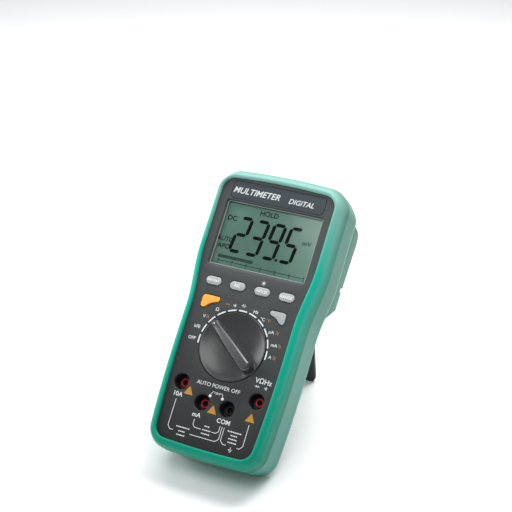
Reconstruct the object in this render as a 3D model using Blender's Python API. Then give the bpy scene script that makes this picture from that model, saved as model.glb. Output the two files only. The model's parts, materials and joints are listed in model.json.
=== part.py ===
"""A handheld digital multimeter in a rubber holster, standing on the tilt stand at its back.

Sizes are millimetres in the meter's own frame: x to the right across the panel, y up the body,
z out of the panel, with the origin on the panel at the centre of the selector dial. The empty
meter_frame leans that frame back and stands the whole part on Z = 0, in metres.
"""

import math

import bmesh
import bpy
from mathutils import Vector

MM = 0.001

# How the meter stands
RECLINE = 41.3  # degrees between the body and the upright
STAND_OPEN = 52.4  # degrees between the stand and the back
GROUND = -83.5  # height of the ground along the row's up axis, from the dial's centre

# The body's outline, at the inner edge of the holster's lip
LOW_HALF_WIDTH = 38.9
SHOULDER_STEP = 4.1  # how much wider each side is at the display
SHOULDER_START = 22.0
SHOULDER_RUN = 44.0
FOOT_TAPER = 2.1  # how much narrower each side is 60 mm below the dial
HEAD_Y = 118.3
HEAD_SAG = 1.2
FOOT_Y = -72.3
FOOT_SAG = 0.8
HEAD_CORNER = 9.0
FOOT_CORNER = 8.5
CORNER_STEPS = 4
SIDE_STATIONS = (-42, -12, 14, 26, 34, 43, 52, 62, 84)
FOOT_STATIONS = (0, 10, 20)
HEAD_STATIONS = (22, 11, 0)
CASE_FOOT = 1.3  # how much further the case stands outside the lip's edge at its foot
HOLSTER_FOOT = 1.1  # and the holster
HEAD_CORNER_CUT = 0.18  # share of the holster's thickness missing at the head's corners

# Depths, outwards from the panel
PANEL_THICKNESS = 2.0
CASE_GROW = 1.6  # the case's wall stands this far outside the lip's edge
CASE_WALL = 2.0
CASE_SPLIT = -16.0
CASE_BACK = -36.5
CASE_FLOOR = CASE_BACK + CASE_WALL
HOLSTER_FLOOR = -36.8
HOLSTER_BACK = -40.0
GAP = 0.3  # between pieces that rest against each other

# The holster's outer section: (distance outside the lip's edge at the foot, on the sides and at
# the head, z at the head and at the foot), and its inner one: (distance, z)
HOLSTER_OUTSIDE = (
    (2.3, 0.8, 2.6, HOLSTER_BACK, HOLSTER_BACK),
    (4.0, 2.8, 5.1, HOLSTER_BACK, HOLSTER_BACK),
    (6.2, 4.5, 8.0, -37, -37),
    (5.7, 5.4, 9.0, -30, -30),
    (6.7, 5.6, 9.0, -18, -14),
    (6.1, 5.4, 8.8, -12, -4),
    (5.7, 5.1, 8.2, -9, -2.4),
    (5.0, 4.55, 7.1, -4, -0.9),
    (4.6, 3.8, 4.9, -0.9, 0.3),
    (3.9, 2.8, 3.7, 1.2, 1.4),
    (2.9, 1.9, 2.7, 2.4, 2.4),
    (1.7, 1.2, 1.7, 2.7, 2.7),
    (0.6, 0.6, 0.7, 2.2, 2.2),
    (0.0, 0.0, 0.0, 1.2, 1.2),
)
HOLSTER_INSIDE = ((0.0, GAP), (CASE_GROW + GAP, GAP), (CASE_GROW + GAP, HOLSTER_FLOOR))

# Probe holders on the holster's back, and the stand hinged between them
HOLDER_INNER_X = 27.0
HOLDER_OUTER_X = 44.8
HOLDER_SIDE = (  # (y, z) round each block
    (38.2, -38.5),
    (49.7, -56.0),
    (102.0, -60.0),
    (107.5, -58.8),
    (110.6, -55.0),
    (112.0, -46.0),
    (112.0, -38.5),
)
PROBE_RADIUS = 5.2
PROBE_X = 35.4
PROBE_Z = -49.0
PROBE_MOUTH = 8.4
BEYOND_HOLDER = -70.0  # a depth behind everything, for cutters to reach
NOTCH_Y = (63.5, 67.0)
NOTCH_Z = -53.0
HINGE_Y = 74.0
HINGE_Z = -45.0
PIN_RADIUS = 1.9
PIN_HALF_LENGTH = 28.9
BARREL_RADIUS = 3.4
BARREL_HALF_LENGTH = 26.3
STAND_REACH = 112.6
STAND_HALF_THICKNESS = 1.6
STAND_HINGE_WIDTH = 22.8  # half of it, at the hinge
STAND_FOOT_WIDTH = 18.7

# Panel openings
WINDOW_CENTRE = (0, 77.5)
WINDOW_SIZE = (73, 47)
WINDOW_SLOPE = 3.0  # how much wider the slope at the window's lower edge is than the others
NAMEPLATE_CENTRE = (0.2, 109.2)
NAMEPLATE_SIZE = (71.4, 13.4)
DIAL_RADIUS = 24.3
DIAL_GAP = 0.4
DIAL_REST = 144.0  # degrees from the panel's x axis to the knob's pointer
DIAL_STEP = 18.0  # degrees between the dial's positions
BAR_TIP = 20.8  # centre of each round end of the grip, along it from the dial's centre
BAR_TAIL = -18.6
BAR_TIP_RADIUS = 2.6
BAR_TAIL_RADIUS = 4.7
BAR_HEIGHT = 8.0
BAR_TIP_HEIGHT = 1.6
BAR_FOOT = -3.2
ROTOR_Z = -9.85  # the middle of the rotor, its detent balls and the ring round them
BALL_RADIUS = 1.6
BALL_CENTRE = 19.6
PILL_X = (-27.9, -9.4, 9.4, 27.9)
PILL_Y = 41.7
PILL_SIZE = (11.5, 5.8)
KEY_FLANGE = 1.3
KEY_TRAVEL_ROOM = 1.2
WING_CENTRE = (-26.0, 27.0)
WING_CORNERS = (  # outline of the left wing key as (x, y, how much of the corner is rounded off)
    (-32.4, 31.4, 2.0),
    (-32.4, 21.9, 1.8),
    (-28.6, 21.9, 1.8),
    (-25.2, 26.6, 3.0),
    (-18.6, 28.1, 1.3),
    (-18.6, 31.4, 1.3),
)
JACKS = {  # centre of each jack on the panel
    "10a": (-28.5, -31.5),
    "ma": (-9.5, -41.7),
    "com": (9.5, -41.7),
    "v": (28.5, -31.5),
}
WELL_RADIUS = 5.5
WELL_FLOOR = -11.5
WELL_WALL = 1.6
SLEEVE_TOP = -6.5
TERMINAL_TOP = -10.6
TERMINAL_FOOT = -13.3

# The board and what is on it
BOARD_TOP = -13.6
BOARD_BOTTOM = -15.2
UNDER_BOARD = BOARD_BOTTOM - GAP
SCREW_PLACES = ((-31.3, -63.3), (31.3, -63.3), (-33.5, 109.5), (33.5, 109.5))
FUSES = {"10a": (-31.0, 32.0, 3.1), "ma": (-22.5, 20.0, 2.5)}  # y, length, radius
FUSE_CAP = 5.0
CLIP_THICKNESS = 0.5
DOOR_CENTRE = (0, -50)


# ---------------------------------------------------------------- outlines


def circle(radius, count=32, centre=(0, 0)):
    turn = 2 * math.pi / count
    return [
        (centre[0] + radius * math.cos(turn * i), centre[1] + radius * math.sin(turn * i))
        for i in range(count)
    ]


def rounded(corners, steps=3):
    """A closed outline through (x, y, cut) corners, each rounded from cut before it to cut after."""
    points = []
    for i, (x, y, cut) in enumerate(corners):
        corner = Vector((x, y))
        before = (Vector(corners[i - 1][:2]) - corner).normalized() * cut
        after = (Vector(corners[(i + 1) % len(corners)][:2]) - corner).normalized() * cut
        for k in range(steps + 1):
            t = k / steps
            points.append(tuple(corner + before * (1 - t) ** 2 + after * t**2))
    return points


def rectangle(centre, size, cut, steps=2):
    x, y, w, h = *centre, size[0] / 2, size[1] / 2
    return rounded(
        ((x - w, y - h, cut), (x + w, y - h, cut), (x + w, y + h, cut), (x - w, y + h, cut)), steps
    )


def normals(points):
    """The outward unit normal at each point of a closed outline."""
    count = len(points)
    area = sum(
        points[i - 1][0] * points[i][1] - points[i][0] * points[i - 1][1] for i in range(count)
    )
    side = math.copysign(1, area)
    found = []
    for i in range(count):
        here, before, after = (Vector(points[j % count]) for j in (i, i - 1, i + 1))
        along = (here - before).normalized() + (after - here).normalized()
        found.append(Vector((along.y, -along.x)).normalized() * side)
    return found


def grown(points, distance, foot=1.0):
    """The outline moved outwards, by foot times as much where it faces down the body."""
    moved = []
    for (x, y), n in zip(points, normals(points)):
        reach = distance * (1 + (foot - 1) * max(0.0, -n.y))
        moved.append((x + n.x * reach, y + n.y * reach))
    return moved


def arch(centre, radius, start, end, steps):
    """Points along an arc between two angles in degrees."""
    angles = (math.radians(start + (end - start) * k / steps) for k in range(steps + 1))
    return [(centre[0] + radius * math.cos(a), centre[1] + radius * math.sin(a)) for a in angles]


def mirrored(points):
    return [(-x, y) for x, y in reversed(points)]


def smoothstep(t):
    t = min(1.0, max(0.0, t))
    return t * t * (3 - 2 * t)


def half_width(y):
    foot = FOOT_TAPER * (min(y, 0) / 60) ** 2
    return LOW_HALF_WIDTH - foot + SHOULDER_STEP * smoothstep((y - SHOULDER_START) / SHOULDER_RUN)


def head_y(x):
    return HEAD_Y - HEAD_SAG * (x / 35) ** 2


def foot_y(x):
    return FOOT_Y + FOOT_SAG * (x / 30) ** 2


def corner_arc(y_edge, radius, start):
    """A quarter circle at a right-hand corner of the body, from the start angle in degrees."""
    up = 1 if start == 0 else -1
    x = half_width(y_edge - up * radius) - radius
    y = (head_y(x) if up > 0 else foot_y(x)) - up * radius
    return arch((x, y), radius, start, start + 90, CORNER_STEPS)


def body_outline():
    """The panel's outline, anticlockwise from the middle of the foot."""
    right = [(x, foot_y(x)) for x in FOOT_STATIONS]
    right += corner_arc(FOOT_Y, FOOT_CORNER, -90)
    right += [(half_width(y), y) for y in SIDE_STATIONS]
    right += corner_arc(HEAD_Y, HEAD_CORNER, 0)
    right += [(x, head_y(x)) for x in HEAD_STATIONS]
    return right + mirrored(right[1:-1])


# ---------------------------------------------------------------- solids


def skin(name, rings, ring_loop=False):
    """A closed mesh over rings of equal length: capped at both ends, or joined into a ring."""
    bm = bmesh.new()
    rows = [[bm.verts.new(Vector(p) * MM) for p in ring] for ring in rings]
    pairs = list(zip(rows, rows[1:]))
    if ring_loop:
        pairs.append((rows[-1], rows[0]))
    else:
        bm.faces.new(rows[0])
        bm.faces.new(rows[-1])
    for low, high in pairs:
        for i in range(len(low)):
            j = (i + 1) % len(low)
            bm.faces.new((low[i], low[j], high[j], high[i]))
    bmesh.ops.connect_verts_nonplanar(bm, angle_limit=math.radians(0.01), faces=bm.faces)
    bmesh.ops.recalc_face_normals(bm, faces=bm.faces)
    mesh = bpy.data.meshes.new(name)
    bm.to_mesh(mesh)
    bm.free()
    return mesh


def stack(name, outline, levels, foot=1.0):
    """A solid through outlines grown by each level's distance, at each level's z."""
    rings = [[(x, y, z) for x, y in grown(outline, grow, foot)] for grow, z in levels]
    return skin(name, rings)


def plate(name, outline, low, high, edge=0.0):
    """A flat solid between two depths, with its edges chamfered by edge."""
    if not edge:
        return stack(name, outline, ((0, low), (0, high)))
    levels = ((-edge, low), (0, low + edge), (0, high - edge), (-edge, high))
    return stack(name, outline, levels)


def turned(name, profile, count=32, bored=False):
    """A solid turned about z from (radius, z) pairs, run round into a ring if it is bored."""
    rings = [[(x, y, z) for x, y in circle(r, count)] for r, z in profile]
    return skin(name, rings, ring_loop=bored)


def along_x(mesh):
    """Lays a mesh turned about z down along x."""
    for vertex in mesh.vertices:
        x, y, z = vertex.co
        vertex.co = (z, y, -x)
    return mesh


def along_y(mesh):
    """Lays a mesh turned about z down along y."""
    for vertex in mesh.vertices:
        x, y, z = vertex.co
        vertex.co = (x, z, -y)
    return mesh


def shifted(mesh, x=0.0, y=0.0, z=0.0):
    for vertex in mesh.vertices:
        vertex.co += Vector((x, y, z)) * MM
    return mesh


def gathered(name, meshes):
    """One mesh holding several separate closed bodies, to cut or join in one step."""
    bm = bmesh.new()
    for mesh in meshes:
        bm.from_mesh(mesh)
    whole = bpy.data.meshes.new(name)
    bm.to_mesh(whole)
    bm.free()
    return whole


# ---------------------------------------------------------------- scene


def clear_scene():
    for obj in list(bpy.data.objects):
        bpy.data.objects.remove(obj, do_unlink=True)


def material(name, colour, roughness, metallic=0.0):
    made = bpy.data.materials.new(name)
    made.use_nodes = True
    shader = made.node_tree.nodes["Principled BSDF"]
    shader.inputs["Base Color"].default_value = (*colour, 1.0)
    shader.inputs["Roughness"].default_value = roughness
    shader.inputs["Metallic"].default_value = metallic
    return made


def empty(name, parent=None, location=(0, 0, 0), rotation=(0, 0, 0)):
    made = bpy.data.objects.new(name, None)
    bpy.context.scene.collection.objects.link(made)
    made.parent = parent
    made.location = Vector(location) * MM
    made.rotation_euler = [math.radians(a) for a in rotation]
    return made


def place(name, mesh, finish, parent, location=(0, 0, 0)):
    made = bpy.data.objects.new(name, mesh)
    bpy.context.scene.collection.objects.link(made)
    made.parent = parent
    made.location = Vector(location) * MM
    if finish:
        mesh.materials.append(finish)
    mesh.shade_smooth()
    mesh.set_sharp_from_angle(angle=math.radians(35))
    return made


def shape_with(target, mesh, operation):
    """Cuts the mesh from the target, or joins it on, with a helper that isn't rendered."""
    helper = place(f"{target.name}_{operation.lower()}_{len(target.modifiers)}", mesh, None, None)
    helper.parent = target.parent
    helper.location = target.location
    helper.hide_render = True
    helper.display_type = "WIRE"
    modifier = target.modifiers.new(operation.title(), "BOOLEAN")
    modifier.operation = operation
    modifier.object = helper


def cut(target, mesh):
    shape_with(target, mesh, "DIFFERENCE")


def join(target, mesh):
    shape_with(target, mesh, "UNION")


# ---------------------------------------------------------------- the pieces


def holster_section(foot, side, head, head_z, foot_z):
    """One ring of the holster's outside. Points under the ground are moved up onto it."""
    outline = body_outline()
    lean = math.radians(RECLINE)
    up = Vector((math.cos(lean), math.sin(lean)))
    ring = []
    for (x, y), n in zip(outline, normals(outline)):
        t = min(1.0, max(0.0, (y - FOOT_Y) / (HEAD_Y - FOOT_Y)))
        upward, downward = max(0.0, n.y), max(0.0, -n.y)
        reach = (foot + (side - foot) * t) * (1 + (HOLSTER_FOOT - 1) * downward)
        reach += (head - side) * upward * t
        reach *= 1 - HEAD_CORNER_CUT * (2 * n.x * upward) ** 2
        x += n.x * reach
        y += n.y * reach
        z = foot_z + (head_z - foot_z) * t
        under = GROUND - up.dot(Vector((y, z)))
        if under > 0:
            y += up.x * under
            z += up.y * under
        ring.append((x, y, z))
    return ring


def probe_holder(side):
    """The solid block of one probe holder, as its side outline carried across in x."""
    low, high = sorted((side * HOLDER_INNER_X, side * HOLDER_OUTER_X))
    top = HOLDER_SIDE[0][1]
    edge = 1.0
    rings = []
    for x, inset in ((low, edge), (low + edge, 0), (high - edge, 0), (high, edge)):
        outline = grown(HOLDER_SIDE, -inset)
        rings.append([(x, y, min(z, top)) for y, z in outline])
    return skin("probe_holder", rings)


def probe_channel(side):
    """What a test probe takes up in its holder: a bore along y and the mouth behind it."""
    low, high = HOLDER_SIDE[0][0] - 20, HOLDER_SIDE[-1][0] + 20
    bore = along_y(turned("bore", ((PROBE_RADIUS, low), (PROBE_RADIUS, high)), 24))
    return shifted(bore, side * PROBE_X, 0, PROBE_Z)


def probe_mouth(side):
    middle = (HOLDER_SIDE[0][0] + HOLDER_SIDE[-1][0]) / 2
    slot = rectangle((side * PROBE_X, middle), (PROBE_MOUTH, 92), 0.5, 1)
    return plate("mouth", slot, BEYOND_HOLDER, PROBE_Z)


def finger_notch(side):
    middle = sum(NOTCH_Y) / 2
    across = HOLDER_OUTER_X - HOLDER_INNER_X + 6
    centre = (side * (HOLDER_INNER_X + HOLDER_OUTER_X) / 2, middle)
    size = (across, NOTCH_Y[1] - NOTCH_Y[0])
    return plate("notch", rectangle(centre, size, 0.4, 1), BEYOND_HOLDER, NOTCH_Z)


def make_holster(frame, rubber):
    rings = [holster_section(*level) for level in HOLSTER_OUTSIDE]
    for grow, z in HOLSTER_INSIDE:
        rings.append([(x, y, z) for x, y in grown(body_outline(), grow, CASE_FOOT)])
    holster = place("holster", skin("holster", rings), rubber, frame)
    join(holster, gathered("holders", [probe_holder(side) for side in (-1, 1)]))
    cut(holster, gathered("channels", [probe_channel(side) for side in (-1, 1)]))
    cut(holster, gathered("mouths", [probe_mouth(side) for side in (-1, 1)]))
    cut(holster, gathered("notches", [finger_notch(side) for side in (-1, 1)]))
    hole = PIN_RADIUS + GAP
    reach = PIN_HALF_LENGTH + 2 * GAP
    bore = along_x(turned("hinge_hole", ((hole, -reach), (hole, reach)), 20))
    cut(holster, shifted(bore, 0, HINGE_Y, HINGE_Z))


def window_cutter():
    """The display opening. Its edges slope in from the panel, the lower one the most."""
    outline = rectangle(WINDOW_CENTRE, WINDOW_SIZE, 1.5)
    return stack("window", outline, ((0, -9), (0, -1.6), (0.7, 0.1), (0.7, 1.0)), WINDOW_SLOPE)


def key_outlines():
    """The outline and centre of each key, by its name."""
    outlines = {}
    for number, x in enumerate(PILL_X, 1):
        outlines[f"button_{number}"] = (rectangle((0, 0), PILL_SIZE, 2.75, 3), (x, PILL_Y))
    x, y = WING_CENTRE
    wing = [(corner_x - x, corner_y - y) for corner_x, corner_y in rounded(WING_CORNERS)]
    outlines["button_select"] = (wing, (x, y))
    outlines["button_hold"] = (mirrored(wing), (-x, y))
    return outlines


def at_screws(name, profile, count=12):
    """The same turned shape at each of the four case screws."""
    return [shifted(turned(name, profile, count), x, y) for x, y in SCREW_PLACES]


def at_jacks(name, profile, count=20):
    return [shifted(turned(name, profile, count), x, y) for x, y in JACKS.values()]


def make_front_case(frame, plastic):
    floor = -PANEL_THICKNESS
    inner = CASE_GROW - CASE_WALL
    edge = 0.8
    levels = (
        (CASE_GROW - edge, 0),
        (CASE_GROW, -edge),
        (CASE_GROW, CASE_SPLIT),
        (inner, CASE_SPLIT),
        (inner, floor),
    )
    shell = stack("front_case", body_outline(), levels, CASE_FOOT)
    case = place("front_case", shell, plastic, frame)
    well = WELL_RADIUS + WELL_WALL
    wells = at_jacks("well", ((well, WELL_FLOOR), (well, -1)))
    bosses = at_screws("boss", ((3.4, -13.3), (3.6, -1)))
    join(case, gathered("wells_and_bosses", wells + bosses))
    mouth = WELL_RADIUS + 1.1
    bores = at_jacks("well_bore", ((WELL_RADIUS, -20), (WELL_RADIUS, -0.9), (mouth, 0.2), (mouth, 1)))
    pilots = at_screws("pilot", ((1.8, -20), (1.8, -4)), 10)
    cut(case, gathered("bores", bores + pilots))
    hole = DIAL_RADIUS + DIAL_GAP
    dial = turned("dial_hole", ((hole, -5), (hole, 1)), 48)
    room = GAP + 0.15
    keys = [
        shifted(stack("key_hole", outline, ((room, -5), (room, 1))), x, y)
        for outline, (x, y) in key_outlines().values()
    ]
    name_seat = plate("name_seat", rectangle(NAMEPLATE_CENTRE, NAMEPLATE_SIZE, 3.6), -0.9, 1)
    cut(case, gathered("openings", [window_cutter(), dial, name_seat] + keys))


def make_rear_case(frame, plastic):
    inner = CASE_GROW - CASE_WALL
    top = CASE_SPLIT - GAP
    edge = 1.0
    levels = (
        (CASE_GROW - edge, CASE_BACK),
        (CASE_GROW, CASE_BACK + edge),
        (CASE_GROW, top),
        (inner, top),
        (inner, CASE_FLOOR),
    )
    shell = stack("rear_case", body_outline(), levels, CASE_FOOT)
    case = place("rear_case", shell, plastic, frame)
    join(case, gathered("pillars", at_screws("pillar", ((4.4, CASE_FLOOR - 1), (4.2, -15.5)))))
    sinks = at_screws("counterbore", ((3.3, -40), (3.3, -29), (1.9, -29), (1.9, -15)))
    door = plate("door_seat", rectangle(DOOR_CENTRE, (53, 40), 2), -40, -30)
    cut(case, gathered("sinks", sinks + [door]))


def make_battery(frame, finishes):
    door = plate("battery_door", rectangle(DOOR_CENTRE, (52.4, 39.4), 1.8), -36.4, -33.8, 0.4)
    door_object = place("battery_door", door, finishes["case"], frame)
    hole = ((3.1, -40), (3.1, -34.8), (1.8, -34.8), (1.8, -30))
    cut(door_object, shifted(turned("door_hole", hole, 16), 0, -66.5))
    place("battery_door_screw", screw(-36.5, -29.5), finishes["steel"], frame, (0, -66.5, 0))
    battery = plate("battery", rectangle((1.5, -50), (46, 26), 2.2), -33.4, -16.2, 0.6)
    place("battery", battery, finishes["battery"], frame)
    snap = plate("battery_snap", rectangle((-24.0, -50), (3.6, 24.5), 0.8), -32.5, -18.5)
    place("battery_snap", snap, finishes["black"], frame)
    for name, y in (("battery_lead_red", -46.0), ("battery_lead_black", -54.0)):
        start, turn, end = (-26.2, y, -24.0), (-29.0, y, -23.0), (-29.0, y + 3, -15.5)
        place(name, lead(name, start, turn, end), finishes[name[8:]], frame)


def lead(name, start, turn, end, radius=0.65, steps=8):
    """A wire bent smoothly from start to end, past turn."""
    a, b, c = (Vector(p) for p in (start, turn, end))
    rings = []
    for k in range(steps + 1):
        t = k / steps
        centre = a * (1 - t) ** 2 + b * 2 * t * (1 - t) + c * t**2
        along = ((b - a) * (1 - t) + (c - b) * t).normalized()
        side = along.cross(Vector((0, 1, 0.3))).normalized()
        up = side.cross(along)
        rings.append([tuple(centre + side * u + up * v) for u, v in circle(radius, 6)])
    return skin(name, rings)


def screw(head_z, tip_z, head_radius=2.7, shank_radius=1.45):
    """A pan-head screw along z, with its head at head_z."""
    under_head = head_z + 1.4
    profile = (
        (head_radius * 0.7, head_z),
        (head_radius, head_z + 0.6),
        (head_radius, under_head),
        (shank_radius, under_head),
        (shank_radius, tip_z - 1.2),
        (shank_radius * 0.4, tip_z),
    )
    return turned("screw", profile, 10)


def make_display(frame, finishes):
    x, y = WINDOW_CENTRE
    w, h = WINDOW_SIZE
    lens = plate("display_lens", rectangle((x, y), (w + 5, h + 5), 2), -3.5, -2.3)
    place("display_lens", lens, finishes["clear"], frame)
    panel = plate("lcd_panel", rectangle((x, y), (w - 1, h - 1), 0.6), -6.4, -3.9)
    place("lcd_panel", panel, finishes["lcd"], frame)
    inner = rectangle((x, y), (w - 0.2, h - 0.2), 1)
    outer = rectangle((x, y), (w + 4.5, h + 4.5), 2)
    walls = ((inner, -13.2), (outer, -13.2), (outer, -3.9), (inner, -3.9))
    rings = [[(*p, z) for p in loop] for loop, z in walls]
    place("lcd_frame", skin("lcd_frame", rings, ring_loop=True), finishes["white"], frame)
    light = plate("backlight_panel", rectangle((x, y + 2.5), (w - 1, h - 7), 0.6), -8.6, -6.8)
    place("backlight_panel", light, finishes["white"], frame)
    strip = plate("zebra_strip", rectangle((x, y - h / 2 + 2.4), (w - 6, 2.2), 0.3), -13.2, -6.8)
    place("zebra_strip", strip, finishes["black"], frame)
    nameplate = plate("nameplate", rectangle(NAMEPLATE_CENTRE, (70.8, 12.8), 3.4), -0.6, 0.1, 0.15)
    place("nameplate", nameplate, finishes["nameplate"], frame)


def make_keys(frame, finishes):
    domes = []
    for name, (outline, (x, y)) in key_outlines().items():
        levels = (
            (KEY_FLANGE, -4.4),
            (KEY_FLANGE, -2.4),
            (0, -2.4),
            (0, 0.5),
            (-0.35, 0.9),
            (-1.0, 1.1),
        )
        key = "orange" if name == "button_select" else "grey"
        place(name, stack(name, outline, levels), finishes[key], frame, (x, y, 0))
        dome = ((3.0, -11.0), (2.0, -4.6 - KEY_TRAVEL_ROOM))
        domes.append(shifted(turned("dome", dome, 8), x, y))
    sheet = rectangle((0, 36), (70, 24), 2)
    membrane = plate("keypad_membrane", sheet, -13.2, -10.4)
    pad = place("keypad_membrane", membrane, finishes["membrane"], frame)
    join(pad, gathered("domes", domes))
    room = turned("rotor_room", ((27.5, -20), (27.5, 0)), 48)
    cut(pad, room)


def bar_half_width(share):
    """Half the grip's width, from its tail at share 0 to its pointer at 1."""
    return BAR_TIP_RADIUS + (BAR_TAIL_RADIUS - BAR_TIP_RADIUS) * (1 - share**2.5)


def knob_bar():
    """The grip across the knob: low and narrow at its pointer, tall and round at its tail."""
    tip = arch((0, BAR_TIP), BAR_TIP_RADIUS, 0, 180, 9)
    tail = arch((0, BAR_TAIL), BAR_TAIL_RADIUS, 180, 360, 9)
    shares = (0.2, 0.4, 0.6, 0.8)
    side = [(bar_half_width(share), BAR_TAIL + share * (BAR_TIP - BAR_TAIL)) for share in shares]
    outline = tip + [(-x, y) for x, y in reversed(side)] + tail + side
    rings = []
    for rise, inset in ((0, 0.0), (0.35, 0.2), (0.7, 0.4), (0.9, 0.75), (0.98, 1.3), (1.0, 1.9)):
        ring = []
        for (x, y), (_, along) in zip(grown(outline, -inset), outline):
            share = min(1.0, max(0.0, (along - BAR_TAIL) / (BAR_TIP - BAR_TAIL)))
            top = BAR_HEIGHT + (BAR_TIP_HEIGHT - BAR_HEIGHT) * share**1.25
            ring.append((x, y, BAR_FOOT + rise * (top - BAR_FOOT)))
        rings.append(ring)
    return skin("knob_bar", rings)


def detent_ball():
    steps = 8
    angles = [math.pi * k / steps for k in range(1, steps)]
    profile = [(BALL_RADIUS * math.sin(a), -BALL_RADIUS * math.cos(a)) for a in angles]
    return turned("ball", profile, 10)


def make_dial(frame, finishes):
    dial = empty("dial_axis", frame, rotation=(0, 0, DIAL_REST - 90))
    profile = (
        (5.0, -2.7),
        (11.0, -2.4),
        (16.5, -1.7),
        (21.0, -0.6),
        (23.2, 0.35),
        (23.9, 0.4),
        (DIAL_RADIUS, 0.0),
        (DIAL_RADIUS, -2.5),
        (26.4, -2.5),
        (26.4, -4.0),
        (9.0, -4.0),
        (9.0, -7.2),
        (3.5, -7.2),
        (3.5, -12.8),
    )
    knob = place("selector_knob", turned("selector_knob", profile, 40), finishes["knob"], dial)
    join(knob, knob_bar())
    ring = ((3.8, -12.2), (20.5, -12.2), (20.5, -7.5), (3.8, -7.5))
    rotor = place("rotor_disc", turned("rotor_disc", ring, 32, bored=True), finishes["white"], dial)
    pocket = ((BALL_RADIUS + GAP, 13), (BALL_RADIUS + GAP, 30))
    pockets = [along_x(turned("pocket", pocket, 10)) for _ in range(2)]
    for vertex in pockets[0].vertices:
        vertex.co.x *= -1
    pockets[0].flip_normals()
    cut(rotor, gathered("pockets", [shifted(mesh, 0, 0, ROTOR_Z) for mesh in pockets]))
    for side, word in ((-1, "left"), (1, "right")):
        ball = shifted(detent_ball(), side * BALL_CENTRE, 0, ROTOR_Z)
        place(f"detent_ball_{word}", ball, finishes["steel"], dial)
        place(f"detent_spring_{word}", coil(side), finishes["steel"], dial)
    low, high, outer = -12.0, -7.7, circle(25.8, 60)
    walls = ((scallops(), low), (outer, low), (outer, high), (scallops(), high))
    notched = [[(*p, z) for p in loop] for loop, z in walls]
    place("detent_ring", skin("detent_ring", notched, ring_loop=True), finishes["white"], frame)
    for number, radius in enumerate((9.0, 15.0), 1):
        spring = contact_spring(radius)
        place(f"contact_spring_{number}", spring, finishes["brass"], dial)


def scallops():
    """The detent ring's inner outline, with a notch for each step of the dial."""
    notches = round(360 / DIAL_STEP)
    depth = 0.65
    loop = []
    for x, y in circle(1.0, 3 * notches):
        turn = math.atan2(y, x) - math.radians(DIAL_REST - 90)
        radius = 22.2 + depth * math.cos(notches * turn)
        loop.append((radius * x, radius * y))
    return loop


def coil(side, turns=3, steps=7, wire=0.25, radius=1.3):
    """A compression spring along x, pressed flat behind its detent ball."""
    rings = []
    total = turns * steps
    start, end = 14.0, BALL_CENTRE - BALL_RADIUS - wire - GAP
    for k in range(total + 1):
        angle = 2 * math.pi * k / steps
        x = start + (end - start) * k / total
        out = Vector((0, math.cos(angle), math.sin(angle)))
        centre = Vector((side * x, 0, ROTOR_Z)) + out * radius
        rings.append([tuple(centre + out * u + Vector((v, 0, 0))) for u, v in circle(wire, 5)])
    return skin("coil", rings)


def contact_spring(radius, width=1.6, thick=0.3):
    """A bowed strip under the rotor, wiping the board at its middle."""
    rings = []
    for k in range(9):
        t = k / 8 * 2 - 1
        angle = math.radians(90 + 24 * t)
        z = -12.6 - 0.45 * (1 - t * t)
        rings.append(
            [
                ((radius + u) * math.cos(angle), (radius + u) * math.sin(angle), z + v)
                for u, v in ((-width, 0), (width, 0), (width, thick), (-width, thick))
            ]
        )
    return skin("contact_spring", rings)


def make_jacks(frame, finishes):
    inner, outer, edge = 2.05, 3.3, 0.3
    sleeve = (
        (inner, SLEEVE_TOP - edge),
        (inner + edge, SLEEVE_TOP),
        (outer - edge, SLEEVE_TOP),
        (outer, SLEEVE_TOP - edge),
        (outer, -9.0),
        (5.1, -9.0),
        (5.1, -11.2),
        (4.2, -11.2),
        (4.2, -13.2),
        (3.2, -13.2),
        (3.2, -8.4),
        (inner, -8.4),
    )
    tube = (
        (inner, TERMINAL_TOP),
        (2.9, TERMINAL_TOP),
        (2.9, TERMINAL_FOOT),
        (0.9, TERMINAL_FOOT),
        (0.9, TERMINAL_FOOT + 0.6),
        (inner, TERMINAL_FOOT + 0.6),
    )
    for name, (x, y) in JACKS.items():
        colour = finishes["black" if name == "com" else "red"]
        mesh = turned("jack_sleeve", sleeve, 14, bored=True)
        place(f"jack_sleeve_{name}", mesh, colour, frame, (x, y, 0))
        mesh = turned("jack_terminal", tube, 12, bored=True)
        place(f"jack_terminal_{name}", mesh, finishes["brass"], frame, (x, y, 0))


def make_board(frame, finishes):
    laminate = plate("main_pcb", grown(body_outline(), -1.2), BOARD_BOTTOM, BOARD_TOP)
    board = place("main_pcb", laminate, finishes["board"], frame)
    cut(board, gathered("holes", at_screws("hole", ((2.0, -20), (2.0, -10)), 10)))
    boxes = (  # name, finish, centre, size, height
        ("meter_ic", "black", (0, 22), (14, 14), 2.2),
        ("crystal", "steel", (15, 24), (11, 4.6), 3.6),
        ("buzzer", "black", (-20, 12), (14, 14), 7.0),
        ("ptc_thermistor", "amber", (22, -14), (9, 4), 9.0),
        ("varistor", "blue", (10, -14), (10, 4.2), 10.0),
        ("capacitor", "blue", (24, 5), (9, 9), 11.0),
    )
    for name, finish, centre, size, height in boxes:
        cut_corner = min(size) * (0.5 if name in ("buzzer", "capacitor") else 0.12)
        outline = rectangle(centre, size, cut_corner)
        mesh = plate(name, outline, UNDER_BOARD - height, UNDER_BOARD)
        place(name, mesh, finishes[finish], frame)
    place("shunt_wire", shunt(), finishes["brass"], frame)


def shunt(radius=0.9, reach=9, drop=6, steps=12):
    """The 10 A shunt: a thick wire bent down between two pads."""
    rings = []
    for k in range(steps + 1):
        a = math.pi * k / steps
        x, z = -16 - reach * math.cos(a), UNDER_BOARD - radius - drop * math.sin(a)
        centre = Vector((x, -14, z))
        along = Vector((reach * math.sin(a), 0, -drop * math.cos(a))).normalized()
        side = Vector((0, 1, 0))
        up = side.cross(along)
        rings.append([tuple(centre + side * u + up * v) for u, v in circle(radius, 6)])
    return skin("shunt_wire", rings)


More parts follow.
